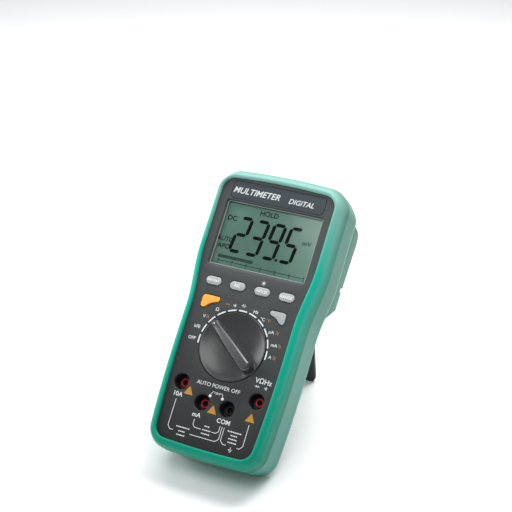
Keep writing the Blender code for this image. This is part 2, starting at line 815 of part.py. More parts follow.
def make_fuses(frame, finishes):
    edge, step = 0.4, 0.3
    for name, (y, length, radius) in FUSES.items():
        half = length / 2
        ends = (
            (radius - edge, half),
            (radius, half - edge),
            (radius, half - FUSE_CAP),
            (radius - step, half - FUSE_CAP),
        )
        profile = [(r, -x) for r, x in ends] + [(r, x) for r, x in reversed(ends)]
        z = UNDER_BOARD - CLIP_THICKNESS - GAP - radius
        fuse = shifted(along_x(turned(f"fuse_{name}", profile, 12)), 0, y, z)
        place(f"fuse_{name}", fuse, finishes["ceramic"], frame)
        for end, side in (("left", -1), ("right", 1)):
            clip = fuse_clip(side * (half - FUSE_CAP / 2), y, z, radius + GAP)
            place(f"fuse_clip_{name}_{end}", clip, finishes["brass"], frame)


def fuse_clip(x, y, z, inner, width=3.6, steps=12):
    """A springy cradle round the upper half of a fuse's cap, up against the board."""
    outer = inner + CLIP_THICKNESS
    rings = []
    for near, far in zip(
        arch((y, z), inner, -25, 205, steps), arch((y, z), outer, -25, 205, steps)
    ):
        low, high = x - width / 2, x + width / 2
        rings.append([(low, *near), (high, *near), (high, *far), (low, *far)])
    return skin("fuse_clip", rings)


def make_screws(frame, steel):
    for number, (x, y) in enumerate(SCREW_PLACES, 1):
        place(f"case_screw_{number}", screw(-31.0, -6.0), steel, frame, (x, y, 0))


def stand_half_width(down):
    """Half the stand's width at a distance down from its hinge."""
    taper = STAND_HINGE_WIDTH - STAND_FOOT_WIDTH
    return STAND_HINGE_WIDTH - taper * smoothstep(down / STAND_REACH)


def make_stand(frame, plastic):
    """The tilt stand, along its own -y from the hinge, with its foot cut to rest on the ground."""
    hinge = empty("stand_hinge", frame, (0, HINGE_Y, HINGE_Z), (STAND_OPEN, 0, 0))
    lean = math.radians(RECLINE)
    turn = math.radians(STAND_OPEN)
    up = Vector((math.cos(lean), math.sin(lean)))
    up_y = up.x * math.cos(turn) + up.y * math.sin(turn)
    up_z = -up.x * math.sin(turn) + up.y * math.cos(turn)
    drop = GROUND - up.x * HINGE_Y - up.y * HINGE_Z
    rings = []
    for down, inset in ((-4.7, 1.4), (-4.0, 0), (12, 0), (40, 0), (76, 0)):
        rings.append(stand_ring(stand_half_width(down) - inset, -down, 0))
    for above, inset in ((6.0, 0), (2.6, 0.6), (0.8, 2.2), (0.0, 4.5)):
        middle = (drop + above) / up_y
        rings.append(stand_ring(stand_half_width(STAND_REACH) - inset, middle, -up_z / up_y))
    stand = place("kickstand", skin("kickstand", rings), plastic, hinge)
    edge = 0.4
    half = (
        (BARREL_RADIUS, BARREL_HALF_LENGTH),
        (PIN_RADIUS, BARREL_HALF_LENGTH),
        (PIN_RADIUS, PIN_HALF_LENGTH - edge),
        (PIN_RADIUS - edge, PIN_HALF_LENGTH),
    )
    pins = [(radius, -x) for radius, x in reversed(half)] + list(half)
    join(stand, along_x(turned("barrel", pins, 14)))


def stand_ring(w, middle_y, slope, edge=0.5):
    """The stand's cross-section, w to each side, on a plane that slopes across its thickness."""
    half = STAND_HALF_THICKNESS
    flat = ((-w, edge - half), (edge - w, -half), (w - edge, -half), (w, edge - half))
    around = flat + tuple((-x, -z) for x, z in flat)
    return [(x, middle_y + slope * z, z) for x, z in around]


def stand_on_ground(frame):
    """Puts the lowest point at Z = 0 and the middle of the whole part's box at X = Y = 0."""
    bpy.context.view_layer.update()
    graph = bpy.context.evaluated_depsgraph_get()
    corners = []
    for obj in bpy.context.scene.objects:
        if obj.type == "MESH" and not obj.hide_render:
            solid = obj.evaluated_get(graph)
            corners += [solid.matrix_world @ v.co for v in solid.data.vertices]
    low = Vector([min(c[i] for c in corners) for i in range(3)])
    high = Vector([max(c[i] for c in corners) for i in range(3)])
    frame.location -= Vector(((low.x + high.x) / 2, (low.y + high.y) / 2, low.z))


def main():
    clear_scene()
    finishes = {
        "rubber": material("holster_rubber", (0.01, 0.36, 0.23), 0.5),
        "case": material("case_plastic", (0.045, 0.047, 0.05), 0.55),
        "knob": material("knob_plastic", (0.035, 0.037, 0.037), 0.45),
        "nameplate": material("nameplate_film", (0.07, 0.075, 0.1), 0.35),
        "clear": material("window_plastic", (0.8, 0.85, 0.85), 0.05),
        "lcd": material("lcd_glass", (0.15, 0.27, 0.22), 0.2),
        "white": material("white_nylon", (0.75, 0.75, 0.72), 0.5),
        "grey": material("key_grey", (0.45, 0.46, 0.47), 0.45),
        "orange": material("key_orange", (0.95, 0.36, 0.05), 0.4),
        "membrane": material("membrane_rubber", (0.25, 0.25, 0.26), 0.7),
        "red": material("sleeve_red", (0.4, 0.02, 0.03), 0.4),
        "black": material("black_plastic", (0.012, 0.012, 0.013), 0.45),
        "brass": material("brass", (0.75, 0.55, 0.25), 0.3, 1.0),
        "steel": material("zinc_steel", (0.6, 0.6, 0.6), 0.35, 1.0),
        "board": material("board_laminate", (0.02, 0.18, 0.07), 0.5),
        "ceramic": material("fuse_ceramic", (0.8, 0.79, 0.75), 0.35),
        "blue": material("component_blue", (0.04, 0.12, 0.4), 0.4),
        "amber": material("component_amber", (0.6, 0.35, 0.05), 0.45),
        "battery": material("battery_jacket", (0.03, 0.03, 0.035), 0.4),
        "lead_red": material("lead_red", (0.5, 0.02, 0.02), 0.5),
        "lead_black": material("lead_black", (0.015, 0.015, 0.015), 0.5),
        "stand": material("stand_plastic", (0.02, 0.019, 0.018), 0.55),
    }
    frame = empty("meter_frame", rotation=(90 - RECLINE, 0, 0))
    make_holster(frame, finishes["rubber"])
    make_front_case(frame, finishes["case"])
    make_rear_case(frame, finishes["case"])
    make_display(frame, finishes)
    make_keys(frame, finishes)
    make_dial(frame, finishes)
    make_jacks(frame, finishes)
    make_board(frame, finishes)
    make_fuses(frame, finishes)
    make_battery(frame, finishes)
    make_screws(frame, finishes["steel"])
    make_stand(frame, finishes["stand"])
    stand_on_ground(frame)


main()
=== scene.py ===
import itertools
import json
from math import copysign, cos, hypot, pi, radians, sin

import bmesh
import bpy
from mathutils import Matrix, Vector


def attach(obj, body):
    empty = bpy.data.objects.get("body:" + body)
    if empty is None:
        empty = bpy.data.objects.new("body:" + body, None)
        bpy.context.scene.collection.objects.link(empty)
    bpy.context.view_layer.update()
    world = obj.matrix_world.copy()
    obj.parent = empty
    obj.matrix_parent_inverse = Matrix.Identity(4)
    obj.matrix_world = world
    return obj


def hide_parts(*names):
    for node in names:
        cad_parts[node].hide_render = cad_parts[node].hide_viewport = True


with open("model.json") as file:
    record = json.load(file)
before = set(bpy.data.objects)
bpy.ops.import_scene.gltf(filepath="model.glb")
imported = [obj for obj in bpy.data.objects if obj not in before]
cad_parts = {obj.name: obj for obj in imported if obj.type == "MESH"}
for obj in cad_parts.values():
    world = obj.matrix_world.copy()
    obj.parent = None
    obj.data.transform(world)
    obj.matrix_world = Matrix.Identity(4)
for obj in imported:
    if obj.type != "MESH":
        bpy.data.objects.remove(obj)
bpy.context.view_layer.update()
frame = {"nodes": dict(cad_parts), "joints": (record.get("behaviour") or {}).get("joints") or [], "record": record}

# The looks of a handheld digital multimeter in a rubber holster, standing on its tilt stand.
# Sizes are millimetres in the meter's own frame: x to the right across the panel, y up the body,
# z out of the panel, with the origin on the panel at the centre of the selector dial.

MM = 0.001
JOINTS = {joint["name"]: joint for joint in frame["joints"]}
DIAL_JOINT = JOINTS["selector_turn"]
STAND_JOINT = JOINTS["stand_fold"]
OUT = Vector(DIAL_JOINT["axis"]).normalized()
RIGHT = Vector((1, 0, 0))
UP = OUT.cross(RIGHT)
TURNED = Matrix((RIGHT, UP, OUT)).transposed().to_4x4()
METER = Matrix.Translation(DIAL_JOINT["pos_m"]) @ TURNED
DIAL_REST = -DIAL_JOINT["range_deg"][0]  # degrees from the panel's x axis to the pointer
DIAL = METER @ Matrix.Rotation(radians(DIAL_REST - 90), 4, "Z")
STAND_OPEN = -STAND_JOINT["range_deg"][0]
STAND = (
    Matrix.Translation(STAND_JOINT["pos_m"])
    @ TURNED
    @ Matrix.Rotation(radians(STAND_OPEN), 4, "X")
)
SKYWARD = Vector((UP.z, OUT.z))  # straight up, along the meter's y and z
GROUND = -DIAL_JOINT["pos_m"][2] / MM  # the ground's height from the dial's centre

# The body's outline, at the inner edge of the holster's lip
LOW_HALF_WIDTH = 38.9
SHOULDER_STEP = 4.1
SHOULDER_START = 22.0
SHOULDER_RUN = 44.0
FOOT_TAPER = 2.1
HEAD_Y = 118.3
HEAD_SAG = 1.2
FOOT_Y = -72.3
FOOT_SAG = 0.8
HEAD_CORNER = 9.0
FOOT_CORNER = 8.5
OUTLINE_SPACING = 3.0  # the least distance between points on a side
CASE_FOOT = 1.3  # how much further the case stands outside the lip's edge at its foot
HOLSTER_FOOT = 1.1  # and the holster
HEAD_CORNER_CUT = 0.18  # share of the holster's thickness missing at the head's corners

# The holster's section: (distance outside the lip's edge at the foot, on the sides and at the
# head, z at the head and at the foot)
CASE_GROW = 1.6
HOLSTER_FLOOR = -36.8
HOLSTER_BACK = -40.0
SIDE_CREASE = -13.2
HOLSTER_INSIDE = (
    (1.9, 1.9, 1.9, HOLSTER_FLOOR, HOLSTER_FLOOR),
    (1.9, 1.9, 1.9, 0.3, 0.3),
    (0.0, 0.0, 0.0, 0.3, 0.3),
)
HOLSTER_OUTSIDE = (
    (0.0, 0.0, 0.0, 0.9, 0.9),
    (0.1, 0.1, 0.1, 1.9, 1.9),
    (0.8, 0.8, 1.0, 2.5, 2.5),
    (1.8, 1.3, 1.8, 2.62, 2.65),
    (3.1, 2.1, 3.0, 2.08, 2.08),
    (4.0, 2.8, 3.7, 1.2, 1.4),
    (4.7, 3.85, 4.9, -0.9, 0.3),
    (5.0, 4.4, 7.1, -4, -0.9),
    (5.7, 4.8, 8.2, -9, -2.4),
    (6.1, 5.2, 8.8, -12, -4),
    (6.6, 5.6, 9.0, -14.3, -12),
    (6.7, 5.6, 9.0, -14.8, -12.6),
    (5.7, 5.1, 9.0, -30, -30),
    (6.1, 4.6, 8.2, -36.2, -36.2),
    (5.7, 3.9, 7.0, -38.6, -38.6),
    (4.0, 2.8, 5.1, HOLSTER_BACK, HOLSTER_BACK),
    (2.3, 0.8, 2.6, HOLSTER_BACK, HOLSTER_BACK),
)

# Panel
WINDOW_CENTRE = (0, 77.5)
WINDOW_SIZE = (73, 47)
WINDOW_EDGE = ((0, -9), (0, -1.75), (0.1, -1.55), (0.62, -0.15), (0.75, 0.02), (1.2, 0.5), (1.2, 1))
WINDOW_SLOPE = 3.0  # how much further out that edge is at the window's foot
NAMEPLATE_CENTRE = (0.2, 109.2)
NAMEPLATE_SIZE = (71.4, 13.4)
DIAL_RADIUS = 24.3
PILL_X = (-27.9, -9.4, 9.4, 27.9)
PILL_Y = 41.7
PILL_SIZE = (11.5, 5.8)
# The left wing key's outline: (x, y, how much of the corner is cut off)
WING_CORNERS = (-32.3, 31.2, 3.0), (-32.1, 22.0, 1.9), (-28.7, 22.2, 1.3)
WING_CORNERS += (-25.2, 25.9, 2.2), (-19.0, 28.0, 1.4), (-19.2, 31.1, 1.4)
WING_CENTRE = (-26.0, 27.0)
JACKS = {"10a": (-28.5, -31.5), "ma": (-9.5, -41.7), "com": (9.5, -41.7), "v": (28.5, -31.5)}
WELL_RADIUS = 5.5
WELL_OUTER_RADIUS = 7.1
WELL_FLOOR = -11.5
JACK_BORE = 2.05  # radius of the hole for the plug's pin
SLEEVE_TOP = -6.5
SLEEVE_RADIUS = 3.1
SHADE_COLLAR_RADIUS = 3.3  # of the black ring round the sleeve, standing in for the shade down the well: painted shade
FLANGE_RADIUS = 5.1
FLANGE_TOP = -9.0
PRINT_THICKNESS = 0.04
FINE_LINE = 0.35
BOLD = 0.012  # how far a bold letter's outline is moved out, as a share of the text size

# Probe holders on the holster's back, and the stand hinged between them
HOLDER_INNER_X = 27.0
HOLDER_OUTER_X = 44.8
HOLDER_SIDE = (38.2, -38.5), (49.7, -56.0), (102.0, -60.0), (107.5, -58.8)  # (y, z)
HOLDER_SIDE += (110.6, -55.0), (112.0, -46.0), (112.0, -38.5)
PROBE_RADIUS = 5.2
PROBE_X = 35.4
PROBE_Z = -49.0
PROBE_MOUTH = 8.4
HINGE_Y = 74.0
HINGE_Z = -45.0
PIN_RADIUS = 1.9
PIN_ROOM_RADIUS = PIN_RADIUS + 0.3
PIN_HALF_LENGTH = 28.9
PIN_CHAMFER = 0.4
BARREL_RADIUS = 3.4
BARREL_HALF_LENGTH = 26.3
STAND_REACH = 112.6
STAND_HALF_THICKNESS = 1.6
STAND_EDGE = 0.6  # radius of its edges
FOOT_GROOVE = -100  # from the hinge to the lowest groove
GROOVE_PITCH = 4.5
STAND_HINGE_WIDTH = 22.8  # half of it, at the hinge
STAND_FOOT_WIDTH = 18.7

# The camera, and where it looks on the panel
CAMERA_PLACE = (342.2, -94.5, 798.7)
CAMERA_TARGET = (-2.98, 65.22, 0.0)
CAMERA_LENS = 89.92
FLOOR_HALF_SIZE = 3.0  # metres


# ---- outlines


def circle(radius, count, centre=(0, 0)):
    x, y, turn = *centre, 2 * pi / count
    return [(x + radius * cos(turn * i), y + radius * sin(turn * i)) for i in range(count)]


def arc(centre, radius, start, end, steps=10):
    """Points along an arc, the angles in degrees."""
    x, y = centre
    angles = [radians(start + (end - start) * k / steps) for k in range(steps + 1)]
    return [(x + radius * cos(a), y + radius * sin(a)) for a in angles]


def quarter(steps):
    """The angles of a quarter turn."""
    return [radians(90 * k / steps) for k in range(steps + 1)]


def rounded(corners, steps=8):
    """A closed outline through (x, y, cut) corners, each rounded from cut before to cut after."""
    points = []
    for i, (x, y, cut) in enumerate(corners):
        corner = Vector((x, y))
        before = (Vector(corners[i - 1][:2]) - corner).normalized() * cut
        after = (Vector(corners[(i + 1) % len(corners)][:2]) - corner).normalized() * cut
        for k in range(steps + 1):
            t = k / steps
            points.append(tuple(corner + before * (1 - t) ** 2 + after * t**2))
    return points


def rectangle(centre, size, cut, steps=6):
    x, y, w, h = *centre, size[0] / 2, size[1] / 2
    corners = (x - w, y - h), (x + w, y - h), (x + w, y + h), (x - w, y + h)
    return rounded([(*corner, cut) for corner in corners], steps)


def capsule(size):
    """An outline of two half circles joined by straight sides."""
    radius = size[1] / 2
    points = []
    for side, start in ((1, -90), (-1, 90)):
        points += arc((side * (size[0] / 2 - radius), 0), radius, start, start + 180, 12)
    return points


def normals(points):
    """The outward unit normal at each point of a closed outline."""
    count = len(points)
    pairs = zip(points[-1:] + points[:-1], points)
    side = copysign(1, sum(x0 * y1 - x1 * y0 for (x0, y0), (x1, y1) in pairs))
    found = []
    for i in range(count):
        here, before, after = (Vector(points[j % count]) for j in (i, i - 1, i + 1))
        along = (here - before).normalized() + (after - here).normalized()
        found.append(Vector((along.y, -along.x)).normalized() * side)
    return found


def grown(points, distance, foot=1.0):
    """The outline moved outwards, by foot times as much where it faces down the body."""
    moved = []
    for (x, y), n in zip(points, normals(points)):
        reach = distance * (1 + (foot - 1) * max(0.0, -n.y))
        moved.append((x + n.x * reach, y + n.y * reach))
    return moved


def mirrored(points):
    return [(-x, y) for x, y in reversed(points)]


def clamped(t):
    return min(1.0, max(0.0, t))


def smoothstep(t):
    t = clamped(t)
    return t * t * (3 - 2 * t)


def eased(points):
    """An open run of points with its corners cut to a smooth curve, its two ends kept."""
    points = [Vector(p) for p in points]
    for _ in range(2):
        cut = [points[0]]
        for a, b in zip(points, points[1:]):
            cut += [a.lerp(b, 0.25), a.lerp(b, 0.75)]
        points = cut + [points[-1]]
    return [tuple(p) for p in points]


def half_width(y):
    foot = FOOT_TAPER * (min(y, 0) / 60) ** 2
    return LOW_HALF_WIDTH - foot + SHOULDER_STEP * smoothstep((y - SHOULDER_START) / SHOULDER_RUN)


def head_y(x):
    return HEAD_Y - HEAD_SAG * (x / 35) ** 2


def foot_y(x):
    return FOOT_Y + FOOT_SAG * (x / 30) ** 2


def corner_arc(y_edge, radius, start):
    """A quarter circle at a right-hand corner of the body, from the start angle in degrees."""
    up = 1 if start == 0 else -1
    x = half_width(y_edge - up * radius) - radius
    y = (head_y(x) if up > 0 else foot_y(x)) - up * radius
    return arc((x, y), radius, start, start + 90, 12)


def body_outline():
    """The panel's outline, anticlockwise from the middle of the foot."""
    foot = corner_arc(FOOT_Y, FOOT_CORNER, -90)
    head = corner_arc(HEAD_Y, HEAD_CORNER, 0)
    along_foot = int(foot[0][0] / OUTLINE_SPACING)
    along_side = int((head[0][1] - foot[-1][1]) / OUTLINE_SPACING)
    along_head = int(head[-1][0] / OUTLINE_SPACING)
    right = [(x, foot_y(x)) for x in (foot[0][0] * k / along_foot for k in range(along_foot))]
    right += foot
    for k in range(1, along_side):
        y = foot[-1][1] + (head[0][1] - foot[-1][1]) * k / along_side
        right.append((half_width(y), y))
    right += head
    across = (head[-1][0] * (1 - k / along_head) for k in range(1, along_head + 1))
    right += [(x, head_y(x)) for x in across]
    return right + mirrored(right[1:-1])


# ---- meshes

SHARP_ANGLE = 35  # degrees between faces, above which an edge is sharp


def solid(points, faces):
    """A mesh from points in millimetres, with its faces turned outwards."""
    mesh = bpy.data.meshes.new("solid")
    mesh.from_pydata([Vector(p) * MM for p in points], [], faces)
    bm = bmesh.new()
    bm.from_mesh(mesh)
    bmesh.ops.recalc_face_normals(bm, faces=bm.faces)
    bm.to_mesh(mesh)
    bm.free()
    return mesh


def bands(count, rings, joined=False):
    """The faces between neighbouring rings of count points each."""
    faces = []
    for low in range(rings if joined else rings - 1):
        first, second = low * count, (low + 1) % rings * count
        for i in range(count):
            j = (i + 1) % count
            faces.append((first + i, first + j, second + j, second + i))
    return faces


def skin(rings, joined=False):
    """A mesh over rings of equal length: capped at both ends, or joined into a ring."""
    count = len(rings[0])
    points = [p for ring in rings for p in ring]
    caps = [tuple(range(count)), tuple(range(len(points) - count, len(points)))]
    return solid(points, ([] if joined else caps) + bands(count, len(rings), joined))


def stack(outline, levels, foot=1.0):
    """A solid through outlines grown by each level's distance, at each level's z."""
    return skin([[(x, y, z) for x, y in grown(outline, grow, foot)] for grow, z in levels])


def plate(outline, low, high, edge=0.0):
    """A flat solid between two depths, with its edges rounded by edge."""
    if not edge:
        return stack(outline, ((0, low), (0, high)))
    top = [(edge * (cos(a) - 1), high + edge * (sin(a) - 1)) for a in quarter(4)]
    bottom = [(grow, low + high - z) for grow, z in reversed(top)]
    return stack(outline, bottom + top)


def printed(outline, z=0.0):
    """A printed shape on the surface at z."""
    return plate(outline, z, z + PRINT_THICKNESS)


def turned(profile, count, joined=False):
    """A solid turned about z from (radius, z) pairs."""
    rings = [[(x, y, z) for x, y in circle(radius, count)] for radius, z in profile]
    return skin(rings, joined=joined)


def rotated(mesh, degrees, axis):
    mesh.transform(Matrix.Rotation(radians(degrees), 4, axis))
    return mesh


def shifted(mesh, x, y, z=0.0):
    mesh.transform(Matrix.Translation(Vector((x, y, z)) * MM))
    return mesh


def placed(name, data):
    """A new object in the scene, holding this data."""
    made = bpy.data.objects.new(name, data)
    bpy.context.scene.collection.objects.link(made)
    return made


def gathered(meshes):
    """One mesh holding all of these."""
    bm = bmesh.new()
    for mesh in meshes:
        bm.from_mesh(mesh)
        bpy.data.meshes.remove(mesh)
    whole = bpy.data.meshes.new("gathered")
    bm.to_mesh(whole)
    bm.free()
    return whole


def modelled(mesh, steps):
    """The mesh after steps, each (modifier type, its settings), have been applied to it."""
    target = placed("target", mesh)
    helpers = []
    for kind, settings in steps:
        modifier = target.modifiers.new(kind.title(), kind)
        for key, value in settings.items():
            if key == "object":
                value = placed("cutter", value)
                helpers.append(value)
            setattr(modifier, key, value)
    graph = bpy.context.evaluated_depsgraph_get()
    result = bpy.data.meshes.new_from_object(target.evaluated_get(graph))
    for helper in [target] + helpers:
        bpy.data.objects.remove(helper)
    return result


def minus(*cutters):
    return [("BOOLEAN", {"operation": "DIFFERENCE", "object": cutter}) for cutter in cutters]


def bevel(width, segments):
    angle = radians(SHARP_ANGLE)
    settings = {"width": width * MM, "segments": segments, "angle_limit": angle}
    return [("BEVEL", {**settings, "limit_method": "ANGLE", "use_clamp_overlap": True})]


def piece(name, mesh, body, slot=None, replaces=(), place=METER, finish=None, crease=SHARP_ANGLE):
    """A shown piece, moving with a CAD body and standing for the CAD nodes it replaces."""
    mesh.name = name
    mesh.transform(place)
    mesh.materials.clear()
    mesh.materials.append(finish or FINISHES[slot])
    mesh.shade_smooth()
    mesh.set_sharp_from_angle(angle=radians(crease))
    made = placed(name, mesh)
    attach(made, body)
    if replaces:
        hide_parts(*replaces)


# ---- materials


def linear(*colour):
    """A colour given as 0 to 255 display values, as the shader wants it."""
    shares = [value / 255 for value in colour]
    return tuple(s / 12.92 if s <= 0.04045 else ((s + 0.055) / 1.055) ** 2.4 for s in shares)


class Tree:
    """A material's nodes, built one by one."""

    def __init__(self, name):
        self.material = bpy.data.materials.new(name)
        self.material.use_nodes = True
        self.nodes = self.material.node_tree.nodes
        self.shader = self.nodes["Principled BSDF"]
        self.place = self.add("ShaderNodeTexCoord").outputs["Object"]

    def add(self, kind, settings=(), **sockets):
        node = self.nodes.new(kind)
        for key, value in dict(settings).items():
            setattr(node, key, value)
        for key, value in sockets.items():
            self.set(node.inputs[key.replace("_", " ")], value)
        return node

    def set(self, socket, value):
        if isinstance(value, bpy.types.NodeSocket):
            self.material.node_tree.links.new(value, socket)
        else:
            socket.default_value = value

    def grain(self, size, detail, stretch=(1, 1, 1)):
        """Noise whose spots are about size millimetres across, from 0 to 1."""
        squashed = self.add("ShaderNodeMapping", Vector=self.place, Scale=stretch)
        place, scale = squashed.outputs["Vector"], 1 / (size * MM)
        found = self.add("ShaderNodeTexNoise", Vector=place, Scale=scale, Detail=detail)
        return found.outputs["Fac"]

    def ranged(self, value, low, high, start=0.3, end=0.7):
        """The value, carried from start and end over to low and high."""
        found = self.add(
            "ShaderNodeMapRange", Value=value, From_Min=start, From_Max=end, To_Min=low, To_Max=high
        )
        return found.outputs["Result"]

    def between(self, first, last):
        """0 at the first point of the meter's frame and 1 at the last, even between them."""
        first, last = (METER @ (Vector(point) * MM) for point in (first, last))
        along = (last - first).normalized()
        found = self.add("ShaderNodeVectorMath", {"operation": "DOT_PRODUCT"})
        self.set(found.inputs[0], self.place)
        self.set(found.inputs[1], along)
        return self.ranged(found.outputs["Value"], 0, 1, along.dot(first), along.dot(last))

    def mixed(self, share, first, second):
        mix = self.add("ShaderNodeMix", {"data_type": "RGBA"})
        self.set(mix.inputs[0], share)
        for socket, colour in ((mix.inputs[6], first), (mix.inputs[7], second)):
            self.set(socket, (*colour, 1.0) if isinstance(colour, tuple) else colour)
        return mix.outputs[2]

    def shade(self, name, value):
        self.set(self.shader.inputs[name], value)

    def paint(self, colour):
        self.shade("Base Color", colour)

    def gloss(self, level):
        self.shade("Specular IOR Level", level)

    def rough(self, value, low, high):
        self.shade("Roughness", self.ranged(value, low, high))

    def bump(self, height, depth, strength=0.5):
        """Relief from height, depth millimetres deep."""
        found = self.add("ShaderNodeBump", Strength=strength, Distance=depth * MM, Height=height)
        self.shade("Normal", found.outputs["Normal"])


def tinted(colour, share):
    return tuple(min(1.0, c * share) for c in colour)


def moulded(name, colour, roughness, grain=0.5, depth=0.03, drift=0.12, wear=0.25, gloss=0.5):
    """Moulded plastic or rubber: a fine texture, soft drifts of tone and edges rubbed paler."""
    tree = Tree(name)
    fine = tree.grain(grain, 3.0)
    broad = tree.grain(22.0, 4.0)
    darker, paler = tinted(colour, 1 - drift), tinted(colour, 1 + drift)
    tone = tree.mixed(tree.ranged(broad, 0, 1), darker, paler)
    bent = tree.add("ShaderNodeNewGeometry").outputs["Pointiness"]
    edge = tree.ranged(bent, 0, wear, 0.52, 0.6)
    tree.paint(tree.mixed(edge, tone, tinted(tuple(c + 0.06 for c in colour), 1.35)))
    tree.rough(fine, roughness - 0.06, roughness + 0.06)
    tree.bump(fine, depth)
    tree.gloss(gloss)
    return tree.material


def metal(name, colour, roughness):
    """Drawn or turned metal with fine lines along it and a slight tarnish."""
    tree = Tree(name)
    lines = tree.grain(0.6, 4.0, (1, 1, 12))
    tarnish = tree.grain(4.0, 3.0)
    tree.paint(tree.mixed(tree.ranged(tarnish, 0, 1), tinted(colour, 0.8), colour))
    tree.rough(lines, roughness - 0.08, roughness + 0.1)
    tree.bump(lines, 0.01)
    tree.shade("Metallic", 1.0)
    return tree.material


def panel_plastic(name):
    """The front case's plastic: a fine spark-eroded texture, painted paler towards the head as painted light."""
    tree = Tree(name)
    fine = tree.grain(0.35, 3.0)
    broad = tree.grain(30.0, 3.0)
    # Painted light: the plastic runs from near black at the foot to grey at the head, standing in for the light
    # falling on the upper panel.
    height = tree.between((0, FOOT_Y, 0), (0, 60, 0))
    base = tree.mixed(height, linear(8, 9, 11), linear(68, 72, 72))
    flecked = tree.mixed(tree.ranged(fine, 0, 0.22), base, linear(96, 99, 99))
    tree.paint(tree.mixed(tree.ranged(broad, 0, 0.12), flecked, linear(30, 33, 34)))
    tree.rough(fine, 0.46, 0.6)
    tree.bump(fine, 0.03, 0.35)
    tree.gloss(0.3)
    return tree.material


def holster_rubber(name):
    """The holster's rubber, one green under painted light and shade: its lip painted lighter towards the head,
    with a painted sheen at the head and painted shade down its outer roll; the flecked sides below their crease
    painted paler as a painted sheen, with a painted highlight along their rear edge and painted shade behind it.
    """
    tree = Tree(name)
    fine = tree.grain(0.7, 3.0)
    broad = tree.grain(30.0, 4.0)
    # Painted light: the lip is painted darker at the foot and lighter towards the head.
    height = tree.between((0, FOOT_Y, 0), (0, 50, 0))
    lip = tree.mixed(height, linear(0, 138, 112), linear(22, 178, 154))
    worn = tree.mixed(tree.ranged(broad, 0, 0.06), lip, linear(70, 175, 155))
    # Painted sheen: the lip is painted pale grey towards the head, standing in for the reflection of the light
    # behind it.
    head = tree.ranged(tree.between((0, 62, 0), (0, HEAD_Y, 0)), 0, 0.5, 0, 1)
    painted_head_sheen = tree.mixed(head, worn, linear(182, 192, 194))
    # Painted shade: the lip is painted darker down its outer roll towards the crease, where it turns away from the
    # light.
    depth = tree.ranged(tree.between((0, 0, 1), (0, 0, SIDE_CREASE)), 0, 0.8, 0, 1)
    roll = tree.mixed(depth, painted_head_sheen, linear(0, 104, 84))
    # Painted sheen and shade: the sides below the crease are painted a paler, greyer green than the lip, standing
    # in for the sheen of light on them, and painted darker towards the head as painted shade.
    shaded = tree.between((0, 5, 0), (0, 42, 0))
    wall = tree.mixed(shaded, linear(70, 142, 128), linear(44, 124, 108))
    side = tree.mixed(tree.ranged(fine, 0, 0.3), wall, linear(84, 148, 134))
    # Painted highlight: a paler band along the rear edge of the sides.
    rim = tree.mixed(tree.between((0, 0, -34.5), (0, 0, -37)), side, linear(100, 168, 152))
    # Painted shade: the back and the probe holders behind that edge are painted a darker green.
    rear = tree.mixed(tree.between((0, 0, -38.7), (0, 0, -39.7)), rim, linear(46, 120, 104))
    under = tree.between((0, 0, SIDE_CREASE + 0.4), (0, 0, SIDE_CREASE - 0.4))
    tree.paint(tree.mixed(under, roll, rear))
    tree.rough(fine, 0.3, 0.4)
    tree.bump(fine, 0.02)
    tree.gloss(0.16)
    return tree.material


def display_glass(name):
    """The liquid crystal cell: a pale grey green, faintly uneven behind its polariser, with a painted reflection
    paler towards its right.
    """
    tree = Tree(name)
    cloud = tree.grain(18.0, 3.0)
    weave = tree.grain(0.25, 1.0)
    base = tree.mixed(tree.ranged(cloud, 0, 1), linear(114, 152, 140), linear(121, 160, 147))
    # Painted reflection: the cell is painted paler towards its right, as a soft streak of light reflected there.
    paler = tree.mixed(tree.between((10, 0, 0), (45, 0, 0)), base, linear(160, 198, 184))
    tree.paint(tree.mixed(tree.ranged(weave, 0, 0.08), paler, linear(90, 120, 112)))
    tree.rough(weave, 0.22, 0.3)
    tree.bump(weave, 0.005)
    return tree.material


def window_plastic(name):
    """The clear window: what is behind it, under a thin reflection and the odd fine scratch."""
    tree = Tree(name)
    scratch = tree.grain(0.8, 6.0, (0.15, 1, 1))
    relief = tree.add("ShaderNodeBump", Strength=0.08, Distance=0.01 * MM, Height=scratch)
    clear = tree.add("ShaderNodeBsdfTransparent", Color=(0.96, 0.98, 0.97, 1))
    gloss = tree.add("ShaderNodeBsdfGlossy", Roughness=0.06, Normal=relief.outputs["Normal"])
    share = tree.add("ShaderNodeFresnel", IOR=1.2)
    mix = tree.add("ShaderNodeMixShader", Fac=share.outputs["Fac"])
    tree.set(mix.inputs[1], clear.outputs["BSDF"])
    tree.set(mix.inputs[2], gloss.outputs["BSDF"])
    tree.nodes.remove(tree.shader)
    tree.set(tree.nodes["Material Output"].inputs["Surface"], mix.outputs["Shader"])
    return tree.material


def ink(name, colour, roughness=0.5, gloss=0.5):
    """Screen-printed ink, a little thin in places."""
    tree = Tree(name)
    tree.gloss(gloss)
    thin = tree.grain(0.5, 3.0)
    tree.paint(tree.mixed(tree.ranged(thin, 0, 0.35), colour, tinted(colour, 0.72)))
    tree.rough(thin, roughness - 0.05, roughness + 0.1)
    return tree.material


def board_laminate(name):
    """A circuit board: green solder mask over copper tracks."""
    tree = Tree(name)
    settings = {"distance": "MANHATTAN", "feature": "F1"}
    tracks = tree.add("ShaderNodeTexVoronoi", settings, Vector=tree.place, Scale=1 / (5 * MM))
    raised = tree.ranged(tracks.outputs["Distance"], 0, 1, 0.28, 0.34)
    weave = tree.grain(0.4, 2.0)
    tree.paint(tree.mixed(raised, linear(14, 92, 48), linear(30, 128, 66)))
    tree.rough(weave, 0.3, 0.42)
    tree.bump(raised, 0.04)
    return tree.material


